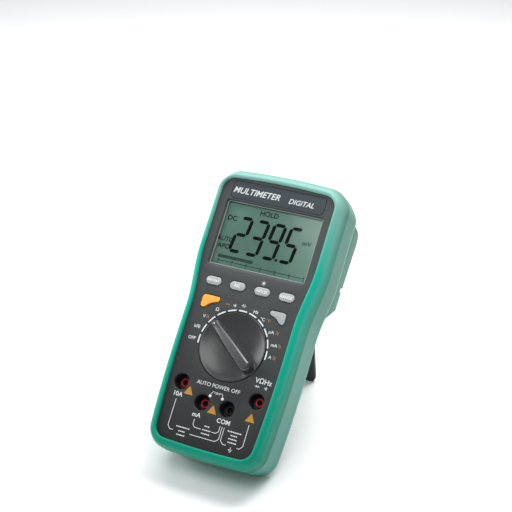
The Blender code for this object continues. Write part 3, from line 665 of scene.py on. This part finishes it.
def wrapped(name, colour, trim):
    """A sleeve printed with bands around it, for the battery and the wound components."""
    tree = Tree(name)
    wave = tree.add("ShaderNodeTexWave", Vector=tree.place, Scale=1 / (30 * MM), Distortion=0.4)
    fine = tree.grain(0.6, 3.0)
    share = tree.ranged(wave.outputs["Fac"], 0, 1, 0.8, 0.84)
    tree.paint(tree.mixed(share, colour, trim))
    tree.rough(fine, 0.3, 0.45)
    tree.bump(fine, 0.02)
    return tree.material


WHITE_INK = ink("ink_white", linear(225, 230, 230))
AMBER_INK = ink("ink_amber", linear(184, 132, 38))
RED_INK = ink("ink_red", linear(168, 126, 96))
DARK_INK = ink("lcd_ink", linear(4, 8, 7), 0.6, 0.1)
FAINT_INK = ink("lcd_faint_ink", linear(22, 34, 30), 0.6, 0.1)
KEY_INK = ink("key_ink", linear(240, 243, 243))
SEAL = ink("window_seal", linear(150, 166, 160))

FINISH_TABLE = (  # (the function, the slot, what else the function takes)
    (holster_rubber, "holster_rubber"),
    (panel_plastic, "case_plastic"),
    (moulded, "knob_plastic", linear(47, 50, 50), 0.28, 0.3, 0.015, 0.05, 0.15, 0.8),
    (moulded, "nameplate_film", linear(60, 68, 74), 0.42, 0.25, 0.01, 0.04, 0.0, 0.3),
    (window_plastic, "window_plastic"),
    (display_glass, "lcd_glass"),
    (moulded, "white_nylon", linear(216, 216, 208), 0.5),
    (moulded, "key_grey", linear(170, 175, 176), 0.4, 0.3, 0.02, 0.05, 0.3),
    (moulded, "key_orange", linear(252, 176, 70), 0.4, 0.3, 0.02, 0.04, 0.2),
    (moulded, "membrane_rubber", linear(120, 120, 122), 0.7),
    (moulded, "sleeve_red", linear(205, 30, 44), 0.28, 0.3, 0.02, 0.05, 0.1),
    (moulded, "black_plastic", linear(24, 24, 25), 0.4, 0.3, 0.02, 0.1, 0.1),
    # Painted shade: the brass is painted nearly black, as its terminals are only seen down the shaded wells.
    (metal, "brass", (0.12, 0.09, 0.05), 0.4),
    (metal, "zinc_steel", (0.6, 0.6, 0.6), 0.35),
    (board_laminate, "board_laminate"),
    (wrapped, "fuse_ceramic", linear(226, 224, 216), linear(198, 196, 190)),
    (wrapped, "component_blue", linear(40, 90, 165), linear(60, 110, 185)),
    (wrapped, "component_amber", linear(190, 135, 40), linear(210, 160, 60)),
    (wrapped, "battery_jacket", linear(40, 40, 46), linear(178, 140, 52)),
    (moulded, "lead_red", linear(170, 20, 20), 0.5),
    (moulded, "lead_black", linear(22, 22, 22), 0.5),
    (moulded, "stand_plastic", linear(36, 34, 33), 0.5, 0.5, 0.03, 0.08, 0.2),
)
FINISHES = {slot: make(slot, *values) for make, slot, *values in FINISH_TABLE}


# ---- the holster


def on_ground(x, y, z):
    """The point, moved up onto the ground if it is under it."""
    under = GROUND - SKYWARD.dot(Vector((y, z)))
    if under > 0:
        y += SKYWARD.x * under
        z += SKYWARD.y * under
    return x, y, z


def make_holster():
    outline = body_outline()
    rings = []
    for foot, side, head, head_z, foot_z in HOLSTER_INSIDE + tuple(eased(HOLSTER_OUTSIDE)):
        ring = []
        for (x, y), n in zip(outline, normals(outline)):
            t = clamped((y - FOOT_Y) / (HEAD_Y - FOOT_Y))
            upward, downward = max(0.0, n.y), max(0.0, -n.y)
            reach = (foot + (side - foot) * t) * (1 + (HOLSTER_FOOT - 1) * downward)
            reach += (head - side) * upward * t
            reach *= 1 - HEAD_CORNER_CUT * (2 * n.x * upward) ** 2
            z = foot_z + (head_z - foot_z) * t
            ring.append(on_ground(x + n.x * reach, y + n.y * reach, z))
        rings.append(ring)
    piece("holster_shell", skin(rings), "meter", "holster_rubber", ["holster"])


def holder_block(side):
    """One probe holder's block: rounded, and bored for a probe."""
    ends = HOLDER_INNER_X, HOLDER_OUTER_X
    block = skin([[(side * x, y, z) for y, z in HOLDER_SIDE] for x in ends])
    bore = rotated(turned(((PROBE_RADIUS, 20), (PROBE_RADIUS, 140)), 48), -90, "X")
    bore = shifted(bore, side * PROBE_X, 0, PROBE_Z)
    mouth = plate(rectangle((side * PROBE_X, 76), (PROBE_MOUTH, 100), 0.5), -70, PROBE_Z)
    centre = (side * sum(ends) / 2, 65.25)
    notch = plate(rectangle(centre, (30, 3.5), 0.5), -70, -53)
    room = turned(((PIN_ROOM_RADIUS, -29.5), (PIN_ROOM_RADIUS, 29.5)), 32)
    pin_room = shifted(rotated(room, 90, "Y"), 0, HINGE_Y, HINGE_Z)
    steps = bevel(1.5, 4) + minus(bore, mouth, notch, pin_room) + bevel(0.35, 2)
    return modelled(block, steps)


def make_probe_holders():
    for side, word in ((-1, "left"), (1, "right")):
        piece(f"probe_holder_{word}", holder_block(side), "meter", "holster_rubber")


# ---- the panel


def key_outlines():
    """The outline, centre and CAD body of each key, by its node's name."""
    found = {}
    for number, x in enumerate(PILL_X, 1):
        found[f"button_{number}"] = (capsule(PILL_SIZE), (x, PILL_Y), f"key_{number}")
    left = [(x - WING_CENTRE[0], y - WING_CENTRE[1]) for x, y in rounded(WING_CORNERS)]
    found["button_select"] = (left, WING_CENTRE, "key_select")
    right = [(-0.9 * x, 0.9 * y) for x, y in reversed(left)]
    found["button_hold"] = (right, (-WING_CENTRE[0], WING_CENTRE[1]), "key_hold")
    return found


def hole(outline, lip, floor=-5.0):
    """A cutter through the panel whose upper edge is rounded by lip."""
    rim = [(lip * (1 - cos(a)), -lip + lip * sin(a)) for a in quarter(4)]
    return stack(outline, [(0, floor)] + rim + [(lip * 1.6, 0.6 * lip), (lip * 1.6, 2)])


def make_front_panel():
    levels = [(CASE_GROW - 0.8, 0), (CASE_GROW, -0.8), (CASE_GROW, -16), (-0.4, -16), (-0.4, -2)]
    panel = stack(body_outline(), levels, CASE_FOOT)
    window = stack(rectangle(WINDOW_CENTRE, WINDOW_SIZE, 1.5), WINDOW_EDGE, WINDOW_SLOPE)
    cutters = [window, plate(rectangle(NAMEPLATE_CENTRE, NAMEPLATE_SIZE, 3.6), -0.9, 1)]
    cutters.append(hole(circle(DIAL_RADIUS + 0.4, 160), 0.3))
    for outline, (x, y), _ in key_outlines().values():
        cutters.append(shifted(hole(grown(outline, 0.45), 0.3), x, y))
    for x, y in JACKS.values():
        cutters.append(shifted(hole(circle(WELL_RADIUS, 64), 0.9, -20), x, y))
    mesh = modelled(panel, minus(gathered(cutters)))
    piece("front_panel", mesh, "meter", "case_plastic", ["front_case"], crease=28)


def make_jacks():
    bore, outer, top = JACK_BORE, SLEEVE_RADIUS, SLEEVE_TOP
    well = [(r, z) for r in (WELL_RADIUS, WELL_OUTER_RADIUS) for z in (-2.0, WELL_FLOOR)]
    well = well[:2] + well[:1:-1]
    sleeve = [(bore, -8.4)] + eased(((bore, -7.4), (bore, top), (outer, top), (outer, -7.4)))
    sleeve += [(outer, FLANGE_TOP), (FLANGE_RADIUS, FLANGE_TOP), (FLANGE_RADIUS, -11.2)]
    sleeve += [(4.2, -11.2), (4.2, -13.2), (3.2, -13.2), (3.2, -8.4)]
    inner, cover = outer + 0.02, FLANGE_TOP + 0.03
    # Painted shade: a black ring round the sleeve's top stands in for the shade down the well, so that only a thin
    # ring of red shows.
    shade_collar = [(inner, cover), (inner, top - 0.1), (SHADE_COLLAR_RADIUS, top - 0.3), (SHADE_COLLAR_RADIUS, -8.7)]
    shade_collar += [(FLANGE_RADIUS, -8.7), (FLANGE_RADIUS, cover)]
    tube = [(bore, -10.6), (2.9, -10.6), (2.9, -13.3), (0.9, -13.3), (0.9, -12.7), (bore, -12.7)]
    # Painted shade: the wells are given the black plastic rather than the case's own plastic, as the shade down
    # them.
    black = FINISHES["black_plastic"]
    for name, (x, y) in JACKS.items():
        mesh = shifted(turned(well, 64, joined=True), x, y)
        piece(f"jack_well_{name}", mesh, "meter", "case_plastic", finish=black)
        colour = "black_plastic" if name == "com" else "sleeve_red"
        for part, profile, slot in (
            (f"jack_sleeve_{name}", sleeve, colour),
            (f"jack_collar_{name}", shade_collar, "black_plastic"),
            (f"jack_terminal_{name}", tube, "brass"),
        ):
            mesh = shifted(turned(profile, 48, joined=True), x, y)
            if profile is shade_collar:
                piece(part, mesh, "meter", slot)
            else:
                piece(f"{part}_fine", mesh, "meter", slot, [part])


def make_nameplate():
    film = plate(rectangle(NAMEPLATE_CENTRE, (70.8, 12.8), 3.4), -0.6, 0.1, 0.12)
    piece("nameplate_fine", film, "meter", "nameplate_film", ["nameplate"])
    left = lettering("MULTIMETER", -16.5, 109.0, 4.2, 0.12, slant=0.25, bold=0.014)
    right = lettering("DIGITAL", 18.0, 108.2, 3.5, 0.12, slant=0.25, bold=BOLD)
    piece("nameplate_print", gathered([left, right]), "meter", finish=WHITE_INK)


# ---- display


DIGIT_FOOT = 66.0
DIGIT_MIDDLE = 78.3
DIGIT_HEAD = 90.7
DIGIT_WIDTH = 8.1
DIGIT_PITCH = 12.8
DIGIT_LEFT = -25.7
DIGIT_SLANT = 0.11
DIGIT_STROKE = 2.5
SEGMENT_GAP = 0.25
LCD_TOP = -3.9
SEGMENT_LINES = {  # the ends of each segment's centre line, across and up its digit
    "top": ((0, DIGIT_HEAD), (DIGIT_WIDTH, DIGIT_HEAD)),
    "upper_left": ((0, DIGIT_MIDDLE), (0, DIGIT_HEAD)),
    "upper_right": ((DIGIT_WIDTH, DIGIT_MIDDLE), (DIGIT_WIDTH, DIGIT_HEAD)),
    "middle": ((0, DIGIT_MIDDLE), (DIGIT_WIDTH, DIGIT_MIDDLE)),
    "lower_left": ((0, DIGIT_FOOT), (0, DIGIT_MIDDLE)),
    "lower_right": ((DIGIT_WIDTH, DIGIT_FOOT), (DIGIT_WIDTH, DIGIT_MIDDLE)),
    "bottom": ((0, DIGIT_FOOT), (DIGIT_WIDTH, DIGIT_FOOT)),
}
SEGMENTS = {
    "2": "top upper_right middle lower_left bottom",
    "3": "top upper_right middle lower_right bottom",
    "9": "top upper_left upper_right middle lower_right bottom",
    "5": "top upper_left middle lower_right bottom",
}
LCD_BARS = 30
LCD_BAR_LEFT = -32.2
LCD_BAR_PITCH = 0.9
SCALE_LEFT = -31.6  # the bar graph's scale, from 0
SCALE_PITCH = 10.95


def make_display():
    x, y = WINDOW_CENTRE
    w, h = WINDOW_SIZE
    lens = plate(rectangle((x, y), (w + 5, h + 5), 2), -3.5, -2.3, 0.1)
    piece("display_lens_fine", lens, "meter", "window_plastic", ["display_lens"])
    cell = plate(rectangle((x, y), (w - 0.4, h - 0.4), 0.6), -6.4, LCD_TOP, 0.1)
    piece("lcd_cell", cell, "meter", "lcd_glass", ["lcd_panel"])
    outer, inner = (rectangle((x, y), (w - gap, h - gap), 1) for gap in (0.1, 1.0))
    levels = ((outer, -2.25), (outer, -2.0), (inner, -2.1), (inner, -2.25))
    seal = skin([[(px, py, z) for px, py in line] for line, z in levels], joined=True)
    piece("window_seal", seal, "meter", finish=SEAL)


def segment(word, left):
    """One segment of a digit: a bar with pointed ends, leaning with the digit."""
    start, end = (Vector(point) for point in SEGMENT_LINES[word])
    along = (end - start).normalized()
    side = Vector((-along.y, along.x)) * DIGIT_STROKE / 2
    start, end = start + along * SEGMENT_GAP, end - along * SEGMENT_GAP
    first, last = start + along * DIGIT_STROKE / 2, end - along * DIGIT_STROKE / 2
    corners = start, first + side, last + side, end, last - side, first - side
    outline = [(left + p.x + DIGIT_SLANT * (p.y - DIGIT_FOOT), p.y) for p in corners]
    return printed(outline, LCD_TOP)


def lcd_bar(x, y, width, height):
    return printed(rectangle((x, y), (width, height), 0.05, 1), LCD_TOP)


def make_lcd_marks():
    dark = []
    for place, digit in enumerate("2395"):
        left = DIGIT_LEFT + DIGIT_PITCH * place
        dark += [segment(word, left) for word in SEGMENTS[digit].split()]
    dark.append(printed(rectangle((10.5, DIGIT_FOOT + 0.1), (1.9, 1.9), 0.3), LCD_TOP))
    piece("lcd_digits", gathered(dark), "meter", finish=DARK_INK)
    words = ("HOLD", -4, 96.7, 3.5), ("DC", -30.5, 89.2, 3.5)
    words += ("AUTO", -30.8, 73.4, 3.2), ("APO", -30.6, 68.2, 3.2)
    marks = [lettering(word, x, y, height, LCD_TOP, bold=0.022) for word, x, y, height in words]
    marks.append(lettering("mV", 29, 82, 3.4, LCD_TOP, bold=0.01))
    for number in range(LCD_BARS):
        marks.append(lcd_bar(LCD_BAR_LEFT + LCD_BAR_PITCH * number, 60.8, 0.62, 2.3))
    marks.append(lcd_bar(1.2, 57.6, 65.8, 0.4))
    for number in range(7):
        x = SCALE_LEFT + SCALE_PITCH * number
        marks.append(lcd_bar(x, 58.1, 0.6, 1.3))
        marks.append(lettering(str(number), x, 56.2, 1.9, LCD_TOP))
    piece("lcd_marks", gathered(marks), "meter", finish=FAINT_INK)


# ---- keys and dial


KEY_FLANGE = ((1.3, -4.4), (1.3, -2.4))
KEY_FOOT = -2.35
KEY_WALL = 0.2  # where the cap's edge begins to turn in
KEY_TOP = 1.1
KEY_CROWN = 0.25


def key_cap(outline, edge, domed):
    """A straight wall, a rounded edge and, if it is domed, a slightly raised middle."""
    levels = [(0.0, KEY_FOOT), (0.0, KEY_WALL)]
    for a in quarter(6)[1:]:
        rise = (KEY_TOP - KEY_CROWN - KEY_WALL) * sin(a)
        levels.append((edge * (cos(a) - 1), KEY_WALL + rise))
    if domed:
        for inset, sag in ((0.5, 0.6), (1.0, 0.25)):
            levels.append((-edge - inset, KEY_TOP - KEY_CROWN * sag))
    return stack(outline, levels)


def make_keys():
    words = ("MIN MAX", "REL", "HOLD", "RANGE")
    for name, (outline, (x, y), body) in key_outlines().items():
        slot = "key_orange" if name == "button_select" else "key_grey"
        pill = name[-1].isdigit()
        cap = key_cap(outline, 0.9 if pill else 0.45, pill)
        mesh = shifted(gathered([stack(outline, KEY_FLANGE), cap]), x, y)
        piece(f"{name}_fine", mesh, body, slot, [name])
    for number, word in enumerate(words, 1):
        height = 1.5 if " " in word else 1.9
        text = lettering(word, PILL_X[number - 1], PILL_Y, height, 1.02, bold=BOLD)
        piece(f"button_{number}_print", text, f"key_{number}", finish=KEY_INK)


BAR_TIP = 20.8  # centre of the pointer's round end, along the grip
BAR_TAIL = -18.6
POINTER_DOT = 21.4
BAR_TIP_RADIUS = 2.6
BAR_TAIL_RADIUS = 4.7
BAR_HEIGHT = 8.0
BAR_TIP_HEIGHT = 1.6
BAR_SECTION = ((-1.3, 0), (-0.5, 0.03), (-0.1, 0.2), (0.2, 0.55), (0.5, 0.74), (1.0, 0.87))
BAR_SECTION += ((1.8, 0.955), (2.6, 1), (3.2, 1))  # (distance in from the outline, share of height)
DISH = ((0.0, -2.75), (5.0, -2.7), (11.0, -2.4), (16.5, -1.7), (21.0, -0.6), (23.0, 0.2))


def dish_z(radius):
    """The height of the knob's dish at a radius."""
    for (r0, z0), (r1, z1) in zip(DISH, DISH[1:]):
        if radius <= r1:
            return z0 + (z1 - z0) * (radius - r0) / (r1 - r0)
    return DISH[-1][1]


def bar_outline(inset):
    """The right half of the grip's outline, from its tip to its tail."""
    half = arc((0, BAR_TIP), BAR_TIP_RADIUS - inset, 90, 0, 14)
    for t in (k / 12 for k in range(1, 12)):
        radius = BAR_TIP_RADIUS + (BAR_TAIL_RADIUS - BAR_TIP_RADIUS) * (1 - (1 - t) ** 2.5) - inset
        half.append((radius, BAR_TIP + (BAR_TAIL - BAR_TIP) * t))
    return half + arc((0, BAR_TAIL), BAR_TAIL_RADIUS - inset, 0, -90, 14)


def bar_top(along):
    share = clamped((along - BAR_TAIL) / (BAR_TIP - BAR_TAIL))
    return BAR_HEIGHT + (BAR_TIP_HEIGHT - BAR_HEIGHT) * share**1.25


def make_grip():
    """The grip across the knob, with a fillet at its foot and a rounded upper edge."""
    rings = []
    for inset, rise in eased(BAR_SECTION):
        half = bar_outline(min(inset, BAR_TIP_RADIUS - 0.15))
        ring = []
        for x, y in half + [(-x, y) for x, y in reversed(half[1:-1])]:
            foot = dish_z(hypot(x, y)) - 0.03
            ring.append((x, y, foot + (bar_top(y) - foot) * rise))
        rings.append(ring)
    count, last = len(rings[0]), (len(rings) - 1) * len(rings[0])
    points = [p for ring in rings for p in ring]
    faces = [tuple(range(count))] + bands(count, len(rings))
    for right in range(1, count // 2):
        left = count - right
        quad = (last + left, last + right, last + right + 1, last + left - 1)
        faces.append(quad[:3] if quad[2] == quad[3] else quad)
    faces.append((last, last + 1, last + count - 1))
    return solid(points, faces)


def make_knob():
    profile = eased(DISH[1:] + ((23.7, 0.4), (24.2, 0.3), (DIAL_RADIUS, -0.5)))
    profile += [(DIAL_RADIUS, -2.5), (26.4, -2.5), (26.4, -4), (9, -4), (9, -7.2), (3.5, -7.2)]
    dish = turned([(0.6, DISH[0][1])] + profile + [(3.5, -12.8)], 160)
    piece("knob_dish", dish, "selector", "knob_plastic", ["selector_knob"], DIAL)
    piece("knob_grip", make_grip(), "selector", "knob_plastic", place=DIAL)
    top = bar_top(BAR_TIP)
    dot = turned(((0.5, top - 0.1), (0.5, top + 0.03), (0.3, top + 0.05)), 24)
    dot = shifted(dot, 0, POINTER_DOT)
    piece("pointer_dot", dot, "selector", place=DIAL, finish=WHITE_INK)


# ---- printing


CAP_HEIGHT = 0.68  # of a letter, as a share of the text size


def lettering(text, x, y, height, z=0.0, slant=0.0, bold=0.0):
    """Letters of a given height, standing just proud of the surface at z."""
    curve = bpy.data.curves.new("lettering", "FONT")
    curve.body = text
    curve.size = height / CAP_HEIGHT * MM
    curve.shear = slant
    curve.offset = bold * curve.size
    curve.extrude = PRINT_THICKNESS / 2 * MM
    curve.resolution_u = 3
    curve.align_x = "CENTER"
    letters = placed("lettering", curve)
    graph = bpy.context.evaluated_depsgraph_get()
    mesh = bpy.data.meshes.new_from_object(letters.evaluated_get(graph))
    bpy.data.objects.remove(letters)
    mesh.materials.clear()
    return shifted(mesh, x, y - height / 2, z + PRINT_THICKNESS / 2)


def stroke(points, width=FINE_LINE):
    """A printed line through points, mitred where it turns."""
    points = [Vector(p) for p in points]
    left, right = [], []
    for i, here in enumerate(points):
        before = (here - points[i - 1]).normalized() if i else None
        after = (points[i + 1] - here).normalized() if i < len(points) - 1 else before
        along = ((before or after) + after).normalized()
        side = Vector((-along.y, along.x))
        reach = width / 2 / max(0.5, side.dot(Vector((-after.y, after.x))))
        left.append(tuple(here + side * reach))
        right.append(tuple(here - side * reach))
    return printed(left + right[::-1])


def diode(x, y, size):
    triangle = [(x - size, y - 0.8 * size), (x + 0.6 * size, y), (x - size, y + 0.8 * size)]
    bar = stroke([(x + 0.8 * size, y - 0.9 * size), (x + 0.8 * size, y + 0.9 * size)])
    wire = stroke([(x - 2 * size, y), (x + 1.9 * size, y)], 0.3)
    return [printed(triangle), bar, wire]


def sounder(x, y, size):
    """The continuity buzzer's mark: a dot with waves spreading from it."""
    dot = printed(circle(0.35 * size, 16, (x - size, y)))
    waves = [stroke(arc((x - size, y), r * size, -45, 45), 0.3) for r in (0.9, 1.5, 2.1)]
    return [dot] + waves


def capacitor_mark(x, y, size):
    marks = []
    for side in (-1, 1):
        at = x + side * 0.45 * size
        marks.append(stroke([(at, y - 1.1 * size), (at, y + 1.1 * size)]))
        marks.append(stroke([(at, y), (at + side * 1.2 * size, y)]))
    return marks


def ac_dc(x, y):
    """The mark for direct and alternating current: a wave over a line."""
    width = 2.2
    wave = [
        (x + width * (k / 12 - 0.5), y + 0.75 + 0.45 * sin(2 * pi * k / 12))
        for k in range(13)
    ]
    return [
        stroke(wave),
        stroke([(x - width / 2, y - 0.2), (x + width / 2, y - 0.2)]),
        stroke([(x - width / 2, y - 0.95), (x - width / 8, y - 0.95)], 0.3),
        stroke([(x + width / 8, y - 0.95), (x + width / 2, y - 0.95)], 0.3),
    ]


DIAL_STEP = 18  # degrees between the selector's positions
DIAL_DASH = 13.8  # degrees that the dash at each position spans
DIAL_DASH_RADIUS = 25.6
GROUND_MARK_X = 20.4
DASHES = (1.0, 0.6, 1.3, 0.8, 1.1)
DASH_GAP = 0.35
DASH_HEIGHT = 0.75
SHORTEST_DASH = 0.6


def greeked(x, y, width):
    """A run of short dashes where the panel's small print would be."""
    marks, across, end = [], x - width / 2, x + width / 2
    for length in itertools.cycle(DASHES):
        if across >= end - SHORTEST_DASH:
            return marks
        length = min(length, end - across)
        marks.append(stroke([(across, y), (across + length, y)], DASH_HEIGHT))
        across += length + DASH_GAP


def make_dial_print():
    white = []
    for middle in range(0, 181, DIAL_STEP):
        ends = middle - DIAL_DASH / 2, middle + DIAL_DASH / 2
        white.append(stroke(arc((0, 0), DIAL_DASH_RADIUS, *ends, 8), 1.0))
    words = ("OFF", -31, -0.5, 2.2), ("hFE", -29.7, 8, 2.2), ("V", -26.9, 16.1, 2.2)
    words += ("Ω", -18.9, 22.7, 2.3), ("Hz", 9.3, 27.2, 2.3), ("°C", 15.6, 23.4, 2.2)
    words += ("µA", 24.4, 16.3, 2.2), ("mA", 29, 8, 2.2), ("A", 28.6, -0.5, 2.2)
    white += [lettering(word, x, y, height, bold=BOLD) for word, x, y, height in words]
    white += sounder(-7.2, 28.1, 0.8) + capacitor_mark(-0.5, 29.3, 1.1)
    amber = diode(-12.4, 27.9, 0.85) + [lettering("°F", 19.9, 23.2, 2.2)]
    red = ac_dc(-24.2, 16.1) + ac_dc(28.9, 16.3) + ac_dc(33.0, 8.0) + ac_dc(31.8, -0.5)
    return white, amber, red


def make_jack_print():
    white = [
        lettering("AUTO POWER OFF", -1.0, -28.7, 2.6),
        lettering("VΩHz", 29.5, -17.5, 3.3, bold=BOLD),
        lettering("10A", -28.5, -40.3, 3.0, bold=BOLD),
        lettering("mA", -10.5, -50.7, 3.0, bold=BOLD),
        lettering("COM", 10.0, -50.5, 3.0, bold=BOLD),
        lettering("TEMP", -0.2, -33.4, 1.5),
    ]
    white += diode(26.0, -21.7, 0.9) + sounder(32.2, -21.7, 0.8)
    for x in (-4.9, 4.4):
        white.append(printed(circle(1.0, 24, (x, -36.0))))
        side = copysign(1, x)
        white.append(stroke(arc((-0.2, -36.0), 4.6, 90 - side * 40, 90 - side * 75, 6)))
    brackets = (
        ((-28.5, -44), (-28.5, -62.5), (-26.5, -64.7), (-24, -64.7)),
        ((-11, -64.7), (8, -64.7), (10.3, -62.7), (10.3, -54)),
        ((-10.8, -54), (-10.8, -57.7), (-9, -59.3), (-4.2, -59.3)),
        ((4.0, -59.3), (6.9, -59.3), (8.7, -57.7), (8.7, -54)),
        ((11.9, -54), (11.9, -63), (14, -65), (16.5, -65)),
        ((24.5, -65), (26.5, -65), (28.5, -63), (28.5, -48)),
    )
    white += [stroke(points, 0.4) for points in brackets]
    rows = (
        (-17.3, ((-61.6, 10), (-64.4, 5), (-67.0, 6.5))),
        (0.0, ((-56.6, 4.5), (-59.2, 6.0), (-61.8, 6.5))),
        (GROUND_MARK_X, ((-55.4, 11), (-57.8, 5), (-60.2, 7), (-62.6, 6.5))),
    )
    for x, lines in rows:
        for y, width in lines:
            white += greeked(x, y, width)
    x = GROUND_MARK_X
    for number, width in enumerate((3.0, 2.0, 0.9)):
        y = -67.2 - 0.75 * number
        white.append(stroke([(x - width / 2, y), (x + width / 2, y)]))
    white.append(stroke([(x, -65.4), (x, -67.1)]))
    amber = []
    for x, y in ((-21.0, -36.3), (-0.2, -44.6), (28.0, -43.2)):
        triangle = rounded(((x - 3.5, y - 2.8, 0.5), (x + 3.5, y - 2.8, 0.5), (x, y + 3.2, 0.5)), 3)
        amber.append(printed(triangle))
    return white, amber


def lamp_mark(x, y):
    """The mark for the display's light: a sun."""
    marks = [printed(circle(0.8, 20, (x, y)))]
    for number in range(8):
        a = radians(45 * number)
        ray = [(x + r * cos(a), y + r * sin(a)) for r in (1.15, 1.7)]
        marks.append(stroke(ray, 0.3))
    return marks


def make_print():
    white, amber, red = make_dial_print()
    low_white, low_amber = make_jack_print()
    white += low_white + lamp_mark(8.7, 47.7)
    amber += low_amber
    groups = ("white", white, WHITE_INK), ("amber", amber, AMBER_INK), ("red", red, RED_INK)
    for colour, marks, ink_finish in groups:
        piece(f"panel_print_{colour}", gathered(marks), "meter", finish=ink_finish)


# ---- the stand


def stand_half_width(down):
    taper = STAND_HINGE_WIDTH - STAND_FOOT_WIDTH
    return STAND_HINGE_WIDTH - taper * smoothstep(down / STAND_REACH)


def stand_ring(w, middle_y, slope):
    """The stand's cross-section, w to each side, on a plane that slopes across its thickness."""
    x, z = w - STAND_EDGE, STAND_HALF_THICKNESS - STAND_EDGE
    around = []
    for x_side, z_side, start in ((-1, -1, 180), (1, -1, 270), (1, 1, 0), (-1, 1, 90)):
        around += arc((x_side * x, z_side * z), STAND_EDGE, start, start + 90, 4)
    return [(x, middle_y + slope * z, z) for x, z in around]


def make_stand():
    turn = radians(STAND_OPEN)
    up_y = SKYWARD.x * cos(turn) + SKYWARD.y * sin(turn)
    up_z = -SKYWARD.x * sin(turn) + SKYWARD.y * cos(turn)
    drop = GROUND - SKYWARD.x * HINGE_Y - SKYWARD.y * HINGE_Z
    rings = []
    sections = [(-4.7, 1.4), (-4.4, 0.6), (-4.0, 0)] + [(2 + 100 * k / 24, 0) for k in range(25)]
    for down, inset in sections:
        rings.append(stand_ring(stand_half_width(down) - inset, -down, 0))
    for above, inset in eased(((6.0, 0), (2.6, 0.4), (0.8, 1.8), (0.0, 4.5))):
        middle = (drop + above) / up_y
        rings.append(stand_ring(stand_half_width(STAND_REACH) - inset, middle, -up_z / up_y))
    lines = [rectangle((0, FOOT_GROOVE + GROOVE_PITCH * k), (26, 1.8), 0.85) for k in range(4)]
    grooves = [plate(line, -5, -1.1) for line in lines]
    recess = plate(rectangle((0, -46), (30, 62), 5), -5, -0.9)
    blade = modelled(skin(rings), minus(gathered(grooves + [recess])))
    piece("kickstand_blade", blade, "stand", "stand_plastic", ["kickstand"], STAND)
    half = [
        (PIN_RADIUS - PIN_CHAMFER, PIN_HALF_LENGTH),
        (PIN_RADIUS, PIN_HALF_LENGTH - PIN_CHAMFER),
        (PIN_RADIUS, BARREL_HALF_LENGTH),
        (BARREL_RADIUS - PIN_CHAMFER, BARREL_HALF_LENGTH),
        (BARREL_RADIUS, BARREL_HALF_LENGTH - PIN_CHAMFER),
    ]
    pins = [(radius, -x) for radius, x in half] + half[::-1]
    barrel = rotated(turned(pins, 48), 90, "Y")
    piece("kickstand_barrel", barrel, "stand", "stand_plastic", place=STAND)


# ---- the scene


def finish_cad_nodes():
    """Gives every CAD node that still shows its slot's finish."""
    for part in frame["record"]["subparts"]:
        node = frame["nodes"][part["node"]]
        node.data.materials.clear()
        node.data.materials.append(FINISHES[part["material_slot"]])


def aimed(name, data, place, target):
    """An object at a place, turned towards a target, both in metres."""
    made = placed(name, data)
    made.location = place
    made.rotation_euler = (Vector(target) - Vector(place)).to_track_quat("-Z", "Y").to_euler()
    return made


LIGHT_TARGET = (0, 0, 0.09)
LIGHTS = (  # (name, place and size in metres, power)
    ("key", (0.27, 0.42, 1.05), (0.4, 0.75), 8.4),
    ("back", (-0.3, 0.6, 1.05), (1.2, 1.0), 9.5),
    ("top", (0.1, -0.5, 1.0), (0.8, 0.5), 3.6),
    ("left", (-1.0, -0.25, 0.5), (0.7, 0.8), 6.0),
)


def make_studio():
    world = bpy.data.worlds.new("studio")
    bpy.context.scene.world = world
    world.use_nodes = True
    sky = world.node_tree.nodes["Background"]
    sky.inputs["Color"].default_value = (0.95, 0.98, 1, 1)
    sky.inputs["Strength"].default_value = 0.3
    for name, place, size, power in LIGHTS:
        lamp = bpy.data.lights.new(name, "AREA")
        lamp.shape = "RECTANGLE"
        lamp.size, lamp.size_y = size
        lamp.energy = power
        aimed(name, lamp, place, LIGHT_TARGET)
    tree = Tree("floor_paper")
    fine = tree.grain(1.5, 4.0)
    tree.paint(tree.mixed(tree.ranged(fine, 0, 1), (0.9, 0.9, 0.9), (0.93, 0.93, 0.93)))
    tree.rough(fine, 0.85, 0.95)
    size = FLOOR_HALF_SIZE
    corners = ((-size, -size, 0), (size, -size, 0), (size, size, 0), (-size, size, 0))
    mesh = bpy.data.meshes.new("floor")
    mesh.from_pydata(corners, [], [(0, 1, 2, 3)])
    mesh.materials.append(tree.material)
    floor = placed("floor", mesh)


def make_camera():
    data = bpy.data.cameras.new("camera")
    data.lens = CAMERA_LENS
    place, target = (METER @ (Vector(point) * MM) for point in (CAMERA_PLACE, CAMERA_TARGET))
    bpy.context.scene.camera = aimed("camera", data, place, target)
    bpy.context.scene.view_settings.view_transform = "Standard"


make_camera()
make_studio()
finish_cad_nodes()
make_holster()
make_probe_holders()
make_front_panel()
make_jacks()
make_nameplate()
make_display()
make_lcd_marks()
make_keys()
make_knob()
make_print()
make_stand()
